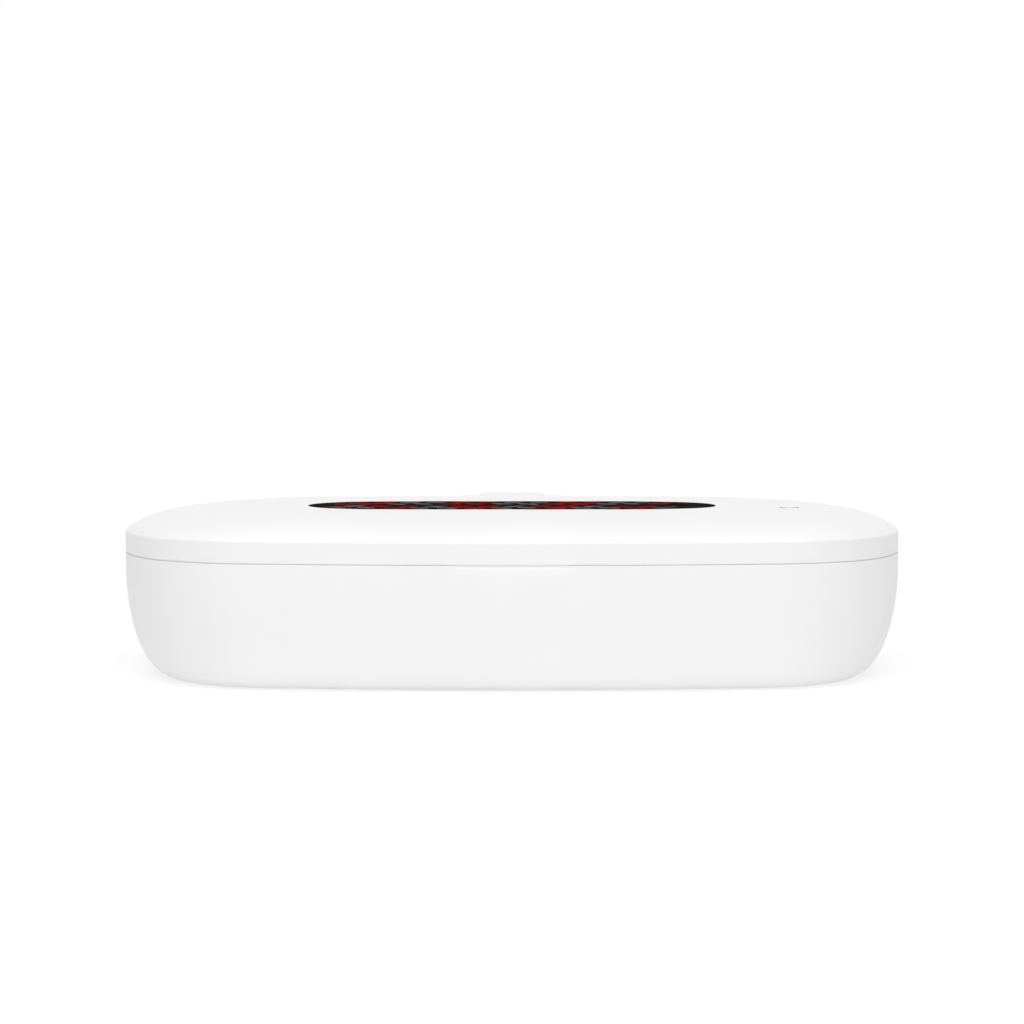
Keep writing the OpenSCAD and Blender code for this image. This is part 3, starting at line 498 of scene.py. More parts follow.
# Painted shade: a black, dull ring set in the gap round the button, standing in for the shade deep in the
# gap, with a faintly varied tone and a fine grain.
gap_shade_black = mottled("painted_gap_shade_black", (1.0, 3.0, (0.4, "#0c0c0d"), (0.6, "#161617")), 0.9,
                       (0.2, 2.0, 0.01, 0.5), {"Specular IOR Level": 0.1})

# Copper litz, enamelled and wound: warm strands under a clear coat. The strands are 0.1 mm on the
# real one and drawn at 0.2 mm, in gloss and relief alike.
copper = mottled("copper_enamelled_litz", (0.7, 3.0, (0.35, "#9c5426"), (0.65, "#c47a43")),
                 (0.2, 2.0, 0.28, 0.42), (0.2, 2.0, 0.02, 0.5),
                 {"Metallic": 1.0, "Coat Weight": 0.5, "Coat Roughness": 0.2})

# Ferrite sheet, sintered, broken into small tiles under its tape: near black, finely cracked.
ferrite, t, place = finish("ferrite_sintered")
tiles = node(t, "TexVoronoi", {"Vector": place, "Scale": per_mm(2.2)}, feature="DISTANCE_TO_EDGE")
tone = node(t, "ValToRGB", {"Fac": tiles}, stops=((0.0, "#1a1b1d"), (0.08, "#303236")))
relief = node(t, "Bump", {"Height": tiles, "Distance": 0.05 * MM, "Strength": 0.4})
skin = node(t, "BsdfPrincipled", {"Base Color": tone, "Roughness": 0.6, "Normal": relief})
node(t, "OutputMaterial", {"Surface": skin})

# Inks, pad printed: thin half-matt films, mottled where the pad left them thinner.
inks = []
for name, dark, light, size in (("ink_black_printed", "#141313", "#2b2a2a", 3),
                                ("ink_dark_red_printed", "#7a0709", "#bc0d12", 5),
                                ("ink_charcoal_printed", "#4a4a4b", "#757577", 4),
                                ("ink_brown_printed", "#5b3517", "#80502a", 3)):
    ink, t, place = finish(name)
    mottle = node(t, "TexNoise", {"Vector": place, "Scale": per_mm(size), "Detail": 4.0, "Roughness": 0.6})
    tone = node(t, "ValToRGB", {"Fac": mottle}, stops=((0.36, dark), (0.64, light)))
    film_wear = node(t, "TexNoise", {"Vector": place, "Scale": per_mm(0.8), "Detail": 2.0})
    gloss = node(t, "MapRange", {"Value": film_wear, "To Min": 0.7, "To Max": 0.85})
    skips = node(t, "TexNoise", {"Vector": place, "Scale": per_mm(0.5), "Detail": 2.0})
    relief = node(t, "Bump", {"Height": skips, "Distance": 0.01 * MM, "Strength": 0.4})
    skin = node(t, "BsdfPrincipled", {"Base Color": tone, "Roughness": gloss, "IOR": 1.5, "Normal": relief,
                                      "Specular IOR Level": 0.0})
    node(t, "OutputMaterial", {"Surface": skin})
    inks.append(ink)
ink_black, ink_red, ink_grey, ink_brown = inks


def done(piece, body, material, stands_for=(), angle=32):
    """Brings a piece to metres at the origin, shades it, and ties it to its body."""
    select_only(piece)
    piece.data.transform(Matrix.Scale(MM, 4) @ piece.matrix_world)
    piece.matrix_world = Matrix.Identity(4)
    piece.data.materials.clear()
    piece.data.materials.append(material)
    bpy.ops.object.shade_smooth_by_angle(angle=math.radians(angle))
    # the large faces keep their own normals, so that flat floors stay flat beside their fillets
    weighted = piece.modifiers.new("flat_faces", "WEIGHTED_NORMAL")
    weighted.keep_sharp = True
    bpy.ops.object.modifier_apply(modifier=weighted.name)
    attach(piece, body)
    if stands_for:
        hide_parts(*stands_for)
    return piece


# ---------------------------------------------------------------- lid cover
def hump_height(x):
    """Height of the hinge hump's deck at a distance from the middle: level, a small step, a fall."""
    step_w, step_h, fall_w, fall_h = 2, 0.9, 13.5, 5
    beside = abs(x) - HUMP_TOP_W / 2
    fall = max(0.0, beside - step_w) / fall_w
    return DECK_Z - step_h * smooth(beside / step_w) - fall_h * fall ** 3


def hump_line(x, section):
    """The hump's section at x, over the case's own one: from the wall's foot over the hump's back
    and deck, and on along the crown."""
    foot_z, back_z, lowest_deck = 37.4, 39.2, 42.2     # the back leaves the wall, and stands upright
    back_w, fade_w, edge_r = 17, 8, 4.4                # half width of the back, its fading, its edge
    wall_y = section[0][0]
    back = wall_y + (HUMP_BACK_Y - wall_y) * (1 - smooth((abs(x) - back_w) / fade_w))
    deck = max(hump_height(x), lowest_deck)
    low, high = section[-2:]
    for a, b in zip(section, section[1:]):
        if a[1] <= deck < b[1]:
            low, high = a, b
    share = min((deck - low[1]) / max(high[1] - low[1], 1e-6), 1.0)
    meet_y = low[0] + (high[0] - low[0]) * share
    corners = [(*section[0], 0), (wall_y, foot_z, 0.6), (back, back_z, 1.0),
               (back, deck, min(edge_r, (deck - back_z - 0.2) * 0.8)), (meet_y, min(deck, TOP_Z), 0)]
    return rounded(corners, 10) + [place for place in section if place[1] > deck]


def lengths_along(line):
    """Lengths along a line from its start to each of its points."""
    lengths = [0.0]
    for a, b in zip(line, line[1:]):
        lengths.append(lengths[-1] + math.dist(a, b))
    return lengths


def along(line, shares):
    """Points at shares of a line's length."""
    lengths = lengths_along(line)
    found, k = [], 0
    for share in shares:
        want = share * lengths[-1]
        while k < len(lengths) - 2 and lengths[k + 1] < want:
            k += 1
        span = lengths[k + 1] - lengths[k] or 1
        t = min(max((want - lengths[k]) / span, 0.0), 1.0)
        found.append(tuple(a + (b - a) * t for a, b in zip(line[k], line[k + 1])))
    return found


crease_r, wall_start, wall_step = 0.8, LID_Z + 1.2, 0.7
outer_crown = crown_rows(0, 44)
crease = rounded([(0.0, CREASE_Z - crease_r, 0), (0.0, CREASE_Z, crease_r), (*outer_crown[2], 0)], 5)
# the rim's face is set back at its outer edge, so that the parting line is a fine shallow groove
inner_side = crown_rows(LID_WALL, 14)[::-1] + rounded([
    (LID_WALL, LID_Z + 1, 0), (LID_WALL, LIP_Z, 0.2), (LIP_IN, LIP_Z, 0.05), (LIP_IN, EDGE_Z, 0.03),
    (0.0, EDGE_Z, EDGE_SOFT), (0.0, wall_start, 0)], 3)
wall = [(0.0, wall_start + wall_step * i) for i in range(1, 5)]
lid_rows = inner_side + wall + crease + outer_crown[3:]
lid_shell = drawn("lid_shell", case_outline, lid_rows)


def roll_crown(piece):
    """Narrows the crown's roll-off at the rear and widens it at the rear corners."""
    rear_from, rear_fade, corner_from, corner_fade = 10, 12, 60, 30
    edge = case_outline(0)
    for k, (_, height) in enumerate(lid_rows):
        if height <= CREASE_Z:
            continue
        for i, (at_x, at_y) in enumerate(edge):
            corner = smooth((abs(at_x) - corner_from) / corner_fade)
            span = REAR_SPAN + (REAR_CORNER_SPAN - REAR_SPAN) * corner
            share = 1 + (span / CROWN_SPAN - 1) * smooth((at_y - rear_from) / rear_fade)
            place = piece.data.vertices[k * len(edge) + i].co
            place.x = at_x + (place.x - at_x) * share
            place.y = at_y + (place.y - at_y) * share


def lift_rear_lip(piece):
    """Takes the lip back up towards the rear, where the rim dips as the lid turns."""
    most, rear_from, rear_fade = 0.97, 38, 10
    for vertex in piece.data.vertices:
        if vertex.co.z < LID_Z:
            left = 1 - most * smooth((vertex.co.y - rear_from) / rear_fade)
            vertex.co.z = LID_Z - (LID_Z - vertex.co.z) * left


def raise_hump(piece):
    """Pulls the rear of the outer skin up and back into the hinge hump, column by column."""
    reach, full_w, fade_w = 26, 19, 6.5
    edge = case_outline(0)
    for i, (at_x, at_y) in enumerate(edge):
        if at_y < 0 or abs(at_x) > reach:
            continue
        points = [piece.data.vertices[k * len(edge) + i] for k in range(len(inner_side), len(lid_rows))]
        x = points[len(points) // 2].co.x
        weight = 1 - smooth((abs(x) - full_w) / fade_w)
        flat = [(v.co.y, v.co.z) for v in points]
        lengths = lengths_along(flat)
        shares = [n / lengths[-1] for n in lengths]
        for vertex, (y, z) in zip(points, along(hump_line(x, flat), shares)):
            vertex.co.y += (y - vertex.co.y) * weight
            vertex.co.z += (z - vertex.co.z) * weight


roll_crown(lid_shell)
lift_rear_lip(lid_shell)
raise_hump(lid_shell)


def hinge_bar(name, r, x0, x1, steps=32):
    """Round bar about the hinge's axis."""
    return prism(name, ring(HINGE_Y, HINGE_Z, r, steps)(0), min(x0, x1), max(x0, x1))


def hanging_post(x, y, r, low, inset):
    """Post that hangs from the crown, with a soft lower edge."""
    soft = 0.2
    return turned("post", x, y, [(r - soft, low), (r, low + soft), (r, crown_z(inset - r, LID_WALL / 2))], 32)


# the lugs beside the tower, which carry the pin, and the posts; these are radii and lower ends
for side in (-1, 1):
    inner, outer = side * LID_GAP_W / 2, side * (LID_GAP_W / 2 + KNUCKLE_W)
    add(lid_shell, hinge_bar("knuckle", KNUCKLE_R, inner, outer, 64))
liner_post, board_post, button_boss = (2.8, 38.4), (2.2, 41.8), (BUTTON_R + 2.2, 44.9)
posts = [hanging_post(x, y, *liner_post, EDGE_IN) for x, y in LINER_SCREWS]
posts += [hanging_post(x, y, *board_post, CORNER_R) for x, y in LID_BOARD_SCREWS]
posts.append(hanging_post(BUTTON_X, BUTTON_Y, *button_boss, HALF_L - BUTTON_X))
add(lid_shell, joined("posts", posts))

# room for the tower under the hump, whose rear edge is where the open lid stops
room_r, room_front, room_foot = TOWER_R + HINGE_GAP, HINGE_Y - TOWER_FRONT - HINGE_GAP, LID_Z - 1
room_reach, room_bend = HUMP_R + 3.3, 2.64
room = arc(HINGE_Y, HINGE_Z, room_r, room_r, math.degrees(STOP_EDGE), 180, 40) + [
    (HINGE_Y - room_r, HINGE_Z - 0.01), (room_front, HINGE_Z - room_bend), (room_front, room_foot),
    (HINGE_Y + room_reach, room_foot),
    (HINGE_Y + room_reach * math.cos(STOP_EDGE), HINGE_Z + room_reach * math.sin(STOP_EDGE))]
cut(lid_shell, prism("room", room, -LID_GAP_W / 2, LID_GAP_W / 2))

# holes; each is given by its rows of radius and height
pin_hole = hinge_bar("pin_hole", PIN_D / 2 + PIN_GAP, -PIN_HALF_L - 0.1, PIN_HALF_L + 0.1)
hole_r, hole_soft = BUTTON_R + BUTTON_GAP, 0.12
button_hole = [(hole_r, 43.9), (hole_r, TOP_Z - hole_soft), (hole_r + hole_soft, TOP_Z),
               (hole_r + hole_soft, TOP_Z + 1)]
holes = turned_at("hole", LINER_SCREWS, [(1.12, 37.4), (1.12, crown_z(EDGE_IN, LID_WALL) - 0.3)], 24)
holes += turned_at("hole", LID_BOARD_SCREWS, [(0.92, 40.8), (0.92, 44.2)], 24)
holes += turned_at("hole", [(BUTTON_X, BUTTON_Y)], button_hole, 64)
cut(lid_shell, joined("holes", holes + [pin_hole]))
done(lid_shell, "lid", abs_white, ("lid_cover",))

# ---------------------------------------------------------------- base shell
root_z = FLANGE_Z - LEDGE_T - 2     # where the ledge and the tower run out into the wall
inner_rows = [p for p in base_rows(BASE_WALL, 20) if p[1] < root_z]
rim = rounded([
    (0.0, 33.4, 0), (0.0, RIM_TOP, EDGE_SOFT), (BASE_WALL, RIM_TOP, 0.25), (BASE_WALL, FLANGE_Z, 0.15),
    (LEDGE_IN, FLANGE_Z, 0.2), (LEDGE_IN, FLANGE_Z - LEDGE_T, 0), (BASE_WALL, root_z, 0),
    (*inner_rows[-1], 0)], 3)
base_line = base_rows(0, 30) + [(0.0, 31.2), (0.0, 32.8)] + rim + inner_rows[::-1][1:]
base_bowl = drawn("base_bowl", case_outline, base_line)

back_turn, front_turn = math.acos(TOWER_BACK / TOWER_R), math.acos(TOWER_FRONT / TOWER_R)
head = [(HINGE_Y + TOWER_R * math.cos(t), HINGE_Z + TOWER_R * math.sin(t))
        for t in even_stops(-back_turn, math.pi + front_turn, 60)]
foot = [(HINGE_Y - TOWER_FRONT, root_z + TOWER_FRONT), (HINGE_Y, root_z), (HINGE_Y + TOWER_BACK, root_z)]
tower = prism("tower", head + foot, -TOWER_W / 2, TOWER_W / 2)
with editing(tower, "FACE"):
    # round the two ends' edges
    form = bmesh.from_edit_mesh(tower.data)
    for face in form.faces:
        face.select = abs(face.normal.x) > 0.9
    bmesh.update_edit_mesh(tower.data)
    bpy.ops.mesh.region_to_loop()
    bpy.ops.mesh.bevel(offset=0.35, segments=3)
add(base_bowl, tower)
stands = turned_at("stand", FEET, [(4.0, 1.4), (4.0, 8.8), (3.8, 9.0)])
stands += turned_at("boss", BOARD_SCREWS, [(2.2, 1.7), (2.2, 7.0), (2.0, 7.2)])
add(base_bowl, joined("stands", stands))


def notch_outline(depth):
    """Plan of the finger notch's cutter: it follows the front face and runs out softly at its ends."""
    half = NOTCH_L / 2
    xs = even_stops(-half, half, 60) + [half]
    return [(x, -rear_y(x, depth * smooth((half - abs(x)) / NOTCH_SOFT) - 0.02)) for x in xs] + [
        (half, -HALF_D - 3), (-half, -HALF_D - 3)]


notch_foot = RIM_Z - NOTCH_H
notch_rows = [(NOTCH_IN * share, notch_foot + up) for share, up in (
    (0, 0), (0.08, 1.0), (0.2, 1.9), (0.4, 2.5), (0.7, 2.85), (1, 3.1))]
notch = drawn("notch", notch_outline, notch_rows + [(NOTCH_IN, RIM_Z + 1)])
cut(base_bowl, notch)


def slot_outline(width, height):
    """The socket's outline: a slot with round ends; an inset shrinks it."""
    half = (width - height) / 2
    return lambda inset: (
        [(half + (height / 2 - inset) * math.cos(t), USB_Z + (height / 2 - inset) * math.sin(t))
         for t in even_stops(-QUARTER, QUARTER, 16)] + [(half, USB_Z + height / 2 - inset)]
        + [(-half - (height / 2 - inset) * math.cos(t), USB_Z - (height / 2 - inset) * math.sin(t))
           for t in even_stops(-QUARTER, QUARTER, 16)] + [(-half, USB_Z - height / 2 + inset)])


def lying(piece):
    """Turns a piece drawn up along Z so that it is drawn along Y."""
    piece.data.transform(Matrix(((1, 0, 0, 0), (0, 0, 1, 0), (0, 1, 0, 0), (0, 0, 0, 1))))
    piece.data.flip_normals()
    return piece


def tower_slot(piece, front, low):
    """Cuts the slot that the tower stands in."""
    cut(piece, block("tower_slot", (-LID_GAP_W / 2, front, low), (LID_GAP_W / 2, 70, 38)))


usb_way = [(0, 49.3), (0, 58.2), (-0.35, 59.2), (-0.35, 62.5)]      # it widens towards the outside
usb_hole = lying(drawn("usb_hole", slot_outline(9.5, 3.9), usb_way))
foot_well = [(5.2, -0.4), (5.2, 1.6), (2.8, 1.6), (2.8, 4.0), (1.6, 4.0), (1.6, 10)]
recesses = turned_at("recess", FEET, foot_well, 48)
recesses += turned_at("pilot", BOARD_SCREWS, [(0.92, 3.4), (0.92, 8)], 24)
cut(base_bowl, joined("recesses", recesses))
cut(base_bowl, usb_hole)
cut(base_bowl, hinge_bar("pin_seat", PIN_D / 2 + 0.01, -TOWER_W / 2 - 1, TOWER_W / 2 + 1))
done(base_bowl, "base", abs_white, ("base_shell",))

# ---------------------------------------------------------------- chamber tray
bottom_in = CHAMBER_IN + CHAMBER_DRAFT + CHAMBER_R
bend_z, outer_bend, flange_in = TRAY_FLOOR + CHAMBER_R, CHAMBER_R + TRAY_WALL, 2.5
tray_line = (arc(bottom_in, bend_z, outer_bend, outer_bend, 270, 180, 8)
             + rounded([
                 (bottom_in - outer_bend, bend_z + 0.5, 0), (CHAMBER_IN - TRAY_WALL, FLANGE_Z, 0.6),
                 (flange_in, FLANGE_Z, 0.1), (flange_in, FLANGE_TOP, 0.25), (CHAMBER_IN, FLANGE_TOP, 0.7),
                 (bottom_in - CHAMBER_R, bend_z + 0.5, 0)], 4)
             + arc(bottom_in, bend_z, CHAMBER_R, CHAMBER_R, 180, 270, 8))
tray = drawn("chamber_liner", case_outline, tray_line)
ribs = []
rib_pitch, rib_half_t, rib_half_l, rib_low, rib_top = 36, 0.8, 29, 16.2, 19.6
for i in range(4):
    x = (i - 1.5) * rib_pitch
    rib = block("rib", (x - rib_half_t, -rib_half_l, rib_low), (x + rib_half_t, rib_half_l, rib_top))
    with editing(rib, "EDGE"):
        form = bmesh.from_edit_mesh(rib.data)
        for edge in form.edges:
            edge.select = min(v.co.z for v in edge.verts) > rib_top - 0.5
        bmesh.update_edit_mesh(rib.data)
        bpy.ops.mesh.bevel(offset=0.75, segments=5)
    ribs.append(rib)
add(tray, joined("ribs", ribs))
tray_peg = [(1.7, 11.1), (1.7, 11.9), (1, 11.9), (1, 13.5), (2.5, 13.5), (2.5, 16.2)]
under = turned_at("tray_post", FEET, [(3.3, 9.2), (3.3, 16.2)])
under += turned_at("tray_peg", [(-62, 0), (62, 0)], tray_peg, 24)
add(tray, joined("under", under))
add(tray, joined("cups", turned_at("cup", MAGNETS, [(3.4, 29.7), (3.4, 33.0)])))
window_seat = [(4.0, 14), (4.0, 16.0), (5.7, 16.0), (5.7, 16.9), (5.95, 17.05), (5.95, 20)]
seats = turned_at("seat", [(x, 0) for x in BASE_LEDS], window_seat, 64)
seats += turned_at("bore", FEET, [(1.32, 8), (1.32, 15.1)], 24)
seats += turned_at("magnet_bore", MAGNETS, [(2.6, 28), (2.6, 32.7)])
cut(tray, joined("seats", seats))
tower_slot(tray, room_front, 30)
done(tray, "base", mirror_abs, ("chamber_tray",))

# ---------------------------------------------------------------- lid liner
skirt_inner = SKIRT_IN + LINER_WALL
pan_in, pan_bend, outer_bend, liner_in = skirt_inner + PAN_R, PAN_Z - PAN_R, PAN_R + LINER_WALL, 2.3
meet = math.degrees(math.asin((LINER_Z + LINER_WALL - pan_bend) / outer_bend))
liner_line = (arc(pan_in, pan_bend, PAN_R, PAN_R, 90, 180, 8)
              + rounded([
                  (skirt_inner, pan_bend - 0.2, 0), (skirt_inner, SKIRT_Z, 0.4), (SKIRT_IN, SKIRT_Z, 0.4),
                  (SKIRT_IN, LINER_Z, 0.3), (liner_in, LINER_Z, 0.2), (liner_in, LINER_Z + LINER_WALL, 0)], 4)
              + arc(pan_in, pan_bend, outer_bend, outer_bend, 180 - meet, 90, 8))
liner = drawn("lid_inner_pan", case_outline, liner_line)
liner_peg = [(2.5, 38.4), (2.5, 40.5), (1, 40.5), (1, 42.1), (1.7, 42.1), (1.7, 42.9)]
over = turned_at("boss", LINER_SCREWS, [(3.4, 35.5), (3.4, 38.3)])
over += turned_at("peg", [(-53, 0), (53, 0)], liner_peg, 24)
over += turned_at("cup", MAGNETS, [(3.4, 36.5), (3.4, 39.8)])
add(liner, joined("over", over))
screw_sink = [(2.55, 34), (2.55, 35.2), (2.4, 35.4), (2.4, 36.8), (1.3, 36.8), (1.3, 40)]
window_seat = [(5.95, 36.8), (5.95, 37.55), (5.7, 37.7), (5.7, 38.6), (4, 38.6), (4, 40)]
sinks = turned_at("sink", LINER_SCREWS, screw_sink)
sinks += turned_at("seat", [(x, 0) for x in LID_LEDS], window_seat, 64)
sinks += turned_at("magnet_bore", MAGNETS, [(2.6, 36.8), (2.6, 41)])
cut(liner, joined("sinks", sinks))
tower_slot(liner, room_front - HINGE_GAP, 33)
done(liner, "lid", mirror_abs, ("lid_liner",))

# ---------------------------------------------------------------- quartz windows and LEDs
window_rows = [(5.2, 0.0), (5.5, 0.25), (5.5, 0.75), (5.2, 1.0)]
for body, xs, low in (("base", BASE_LEDS, 16.0), ("lid", LID_LEDS, 37.6)):
    for i, x in enumerate(xs):
        pane = turned(f"{body}_window_{i + 1}", x, 0, [(r, low + z) for r, z in window_rows], 64)
        done(pane, body, quartz, (f"{body}_windows",))
# each LED has a gold pad and a die on its package; these are half widths and heights above it
led_layers = (("pad", gold, 0.8, 0.0, 0.12), ("die", die, 0.5, 0.12, 0.32))
package_t = 0.72
for body, xs, top, way in (("base", BASE_LEDS, 13.5 + package_t, 1), ("lid", LID_LEDS, 40.5 - package_t, -1)):
    for i, x in enumerate(xs):
        for part, material, half, near, far in led_layers:
            low, high = sorted((top + way * near, top + way * far))
            layer = block(f"{body}_led_{part}_{i + 1}", (x - half, -half, low), (x + half, half, high), 0.03)
            done(layer, body, material)


# ---------------------------------------------------------------- screws
def screw(name, head_z, head_r, head_t, shank_r, length, way):
    """Pan-head screw with a cross recess and a ridged shank. Its head's seat is at head_z, its top
    lies on the side that way names, and its shank runs the other way."""
    pitch, ridge, tip, neck = 0.8, 0.22, 0.5, 0.3
    rows = [(shank_r * 0.4, -length), (shank_r - 0.2, -length + tip)]
    z = -length + tip + 0.2
    while z < -pitch:
        rows += [(shank_r - ridge, z), (shank_r, z + pitch * 0.45), (shank_r - ridge, z + pitch * 0.8)]
        z += pitch
    rows += [(shank_r - 0.05, -neck), (shank_r, 0.0), (head_r, 0.0), (head_r, head_t * 0.5)]
    rows += [(head_r - 0.35 * (1 - math.cos(t)) - 0.15, head_t * (0.5 + 0.5 * math.sin(t)))
             for t in (0.5, 0.9, 1.3)]
    rows += [(head_r * 0.55, head_t)]
    made = turned(name, 0, 0, rows, 32)
    arm, half, floor = head_r * 0.6, 0.24, head_t - min(0.55, head_t * 0.6)
    cross = [block("arm", (-arm, -half, floor), (arm, half, head_t + 1)),
             block("arm", (-half, -arm, floor), (half, arm, head_t + 1))]
    add(cross[0], cross[1])
    cut(made, cross[0])
    if way < 0:
        made.data.transform(Matrix.Rotation(math.pi, 4, "X"))
    made.data.transform(Matrix.Translation((0, 0, head_z)))
    return made


for name, seat, head_r, head_t, shank_r, length, way, places, body, cad in (
        ("liner_screw", 36.8, 2.2, 1.2, 1.1, 5.1, -1, LINER_SCREWS, "lid", "liner_screws"),
        ("tray_screw", 4.0, 2.5, 1.8, 1.3, 10.3, -1, FEET, "base", "tray_screws"),
        ("board_screw", 8.8, 1.8, 1.2, 0.9, 5.0, 1, BOARD_SCREWS, "base", "board_screws"),
        ("lid_board_screw", 40.2, 1.8, 0.8, 0.9, 3.6, -1, LID_BOARD_SCREWS, "lid", "lid_board_screws")):
    for piece in copies(screw(name, seat, head_r, head_t, shank_r, length, way), places):
        done(piece, body, zinc_steel, (cad,))

# ---------------------------------------------------------------- hinge pin, feet, button
pin_r, pin_end, chamfer = PIN_D / 2, PIN_HALF_L, 0.25
pin = turned("steel_hinge_pin", 0, 0, [
    (pin_r - chamfer, -pin_end), (pin_r, chamfer - pin_end), (pin_r, pin_end - chamfer),
    (pin_r - chamfer, pin_end)], 32)
pin.data.transform(Matrix.Translation((0, HINGE_Y, HINGE_Z)) @ Matrix.Rotation(QUARTER, 4, "Y"))
done(pin, "base", ground_steel, ("hinge_pin",))

foot_rows = [(2.6, 0.35), (3.0, 0.05), (3.3, 0.0), (4.35, 0.0), (4.65, 0.12), (5.0, 0.6), (5.0, 1.5),
             (4.9, 1.6)]
for piece in copies(turned("rubber_foot", 0, 0, foot_rows, 64), FEET):
    done(piece, "base", rubber, ("rubber_feet",))

# the cap has a flange that holds it under the lid, a rounded edge and a faintly hollow top
cap_low, cap_high = (v.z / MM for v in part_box("button_cap"))
flange_r, flange_low, flange_high, soft, edge_r, stem_r = BUTTON_R + 1.2, 44.2, 44.8, 0.1, 0.2, 1.5
cap_rows = ([(stem_r, cap_low), (stem_r, flange_low), (flange_r - soft, flange_low),
             (flange_r, flange_low + soft), (flange_r, flange_high - soft), (flange_r - soft, flange_high),
             (BUTTON_R, flange_high), (BUTTON_R, cap_high - edge_r)]
            + arc(BUTTON_R - edge_r, cap_high - edge_r, edge_r, edge_r, 15, 90, 5)
            + [(1.4, cap_high - 0.02), (0.8, cap_high - 0.05)])
cap = turned("button_top", BUTTON_X, BUTTON_Y, cap_rows, 64)
done(cap, "button", abs_button, ("button_cap",))

# thin black ring of painted shade that fills the gap round the button, just under the lid's face
shade_ring_outer, shade_ring_inner, shade_ring_low = hole_r - 0.02, BUTTON_R + 0.06, TOP_Z - 1.2
gap_shade_ring = turned("button_gap_shade_ring", BUTTON_X, BUTTON_Y, [
    (shade_ring_outer, shade_ring_low), (shade_ring_outer, TOP_Z - 0.08), (hole_r - 0.06, TOP_Z - 0.03),
    (BUTTON_R + 0.1, TOP_Z - 0.03), (shade_ring_inner, TOP_Z - 0.07), (shade_ring_inner, shade_ring_low)], 64)
done(gap_shade_ring, "lid", gap_shade_black)

# ---------------------------------------------------------------- USB inlet
socket_rows = [(0, 49.3), (0, 57.2), (0.08, 57.3), (0.27, 57.3), (0.35, 57.2), (0.35, 50.3)]
socket = lying(drawn("usb_shell", slot_outline(8.9, 3.3), socket_rows))
done(socket, "base", tin_steel, ("usb_socket",))
tongue_w, tongue_t = 2.8, 0.35      # half its width and half its thickness
tongue = block("usb_tongue", (-tongue_w, 49.8, USB_Z - tongue_t), (tongue_w, 56.8, USB_Z + tongue_t), 0.12, 3)
done(tongue, "base", epoxy)
contact_pitch, contact_w = 0.8, 0.16
for i in range(6):
    x = -2.5 * contact_pitch + contact_pitch * i
    low, high = (x - contact_w, 50.5, USB_Z + 0.32), (x + contact_w, 56.4, USB_Z + 0.39)
    done(block(f"usb_contact_{i + 1}", low, high, 0.02, 1), "base", gold)

# ---------------------------------------------------------------- charging coil
def winding(name, z, first_r, turns, wire):
    """Flat spiral of round wire."""
    steps = 48      # points in a turn
    path = bpy.data.curves.new(name, "CURVE")
    path.dimensions, path.bevel_depth, path.bevel_resolution, path.use_fill_caps = "3D", wire / 2, 2, True
    line = path.splines.new("POLY")
    line.points.add(turns * steps)
    for k, point in enumerate(line.points):
        t = 2 * math.pi * k / steps
        r = first_r + wire * k / steps
        point.co = (r * math.cos(t), r * math.sin(t), z, 1)
    made = bpy.data.objects.new(name, path)
    bpy.context.scene.collection.objects.link(made)
    select_only(made)
    bpy.ops.object.convert(target="MESH")
    return named(name)


coil_low, coil_high = (v.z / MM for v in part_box("charging_coil"))
layers, coil_turns, coil_inner_r = 2, 10, 10
wire = (coil_high - coil_low) / layers
for i in range(layers):
    middle = coil_low + wire * (i + 0.5)
    layer = winding(f"coil_layer_{i + 1}", middle, coil_inner_r + wire / 2, coil_turns, wire * 0.98)
    done(layer, "lid", copper, ("charging_coil",), 60)


# ---------------------------------------------------------------- printed design on the crown
def film(name, shapes, lift):
    """Thin printed film on the level top; shapes are closed outlines of (x, y)."""
    rows = [(0, TOP_Z - 0.04), (0, TOP_Z + lift)]
    return joined(name, [drawn("film", lambda inset, shape=shape: shape, rows) for shape in shapes])


def leaf(x, y, length, width, turn, steps=14):
    """Pointed leaf that starts at a place and points along turn degrees."""
    half = [(length * i / steps, width / 2 * math.sin(math.pi * (i / steps) ** 0.8))
            for i in range(steps + 1)]
    outline = half + [(a, -b) for a, b in half[-2:0:-1]]
    c, s = math.cos(math.radians(turn)), math.sin(math.radians(turn))
    return [(x + a * c - b * s, y + a * s + b * c) for a, b in outline]


def wavy(x, waves):
    """Sum of waves, each given by its height, its length and where it starts."""
    return sum(high * math.sin(x / long + turn) for high, long, turn in waves)


# a dark ground with a waved edge, and two garlands of leaves along stems over it
PRINT_L, PRINT_W, PRINT_Y = 58.2, 19.5, -3.0          # half length, half width, middle
STEM_W, BERRY_R = 0.28, 0.8                           # half width, radius
LEAVES, LEAF_SIZES, LEAF_TURNS = 26, (8.8, 10.0), (47, 54)    # on a stem; length, lean from the stem
random.seed(11)


def narrowing(x):
    """Share of the full width that the design has at x: it draws in towards its two ends."""
    return math.sqrt(max(0.0, 1 - (abs(x) / PRINT_L) ** 6))


def ground_edge(x, side):
    """Edge of the ground at x, in front of or behind its middle."""
    waves = wavy(x * side, [(0.35, 4.1, 0.3), (0.12, 1.9, 1.7)])
    return PRINT_Y + narrowing(x) * (side * PRINT_W + waves)


def stem_y(x, middle, turn):
    """A stem's place at x: a slow wave that draws in towards the design's ends."""
    return PRINT_Y + middle * narrowing(x) + wavy(x, [(1.0, 8.5, turn)])


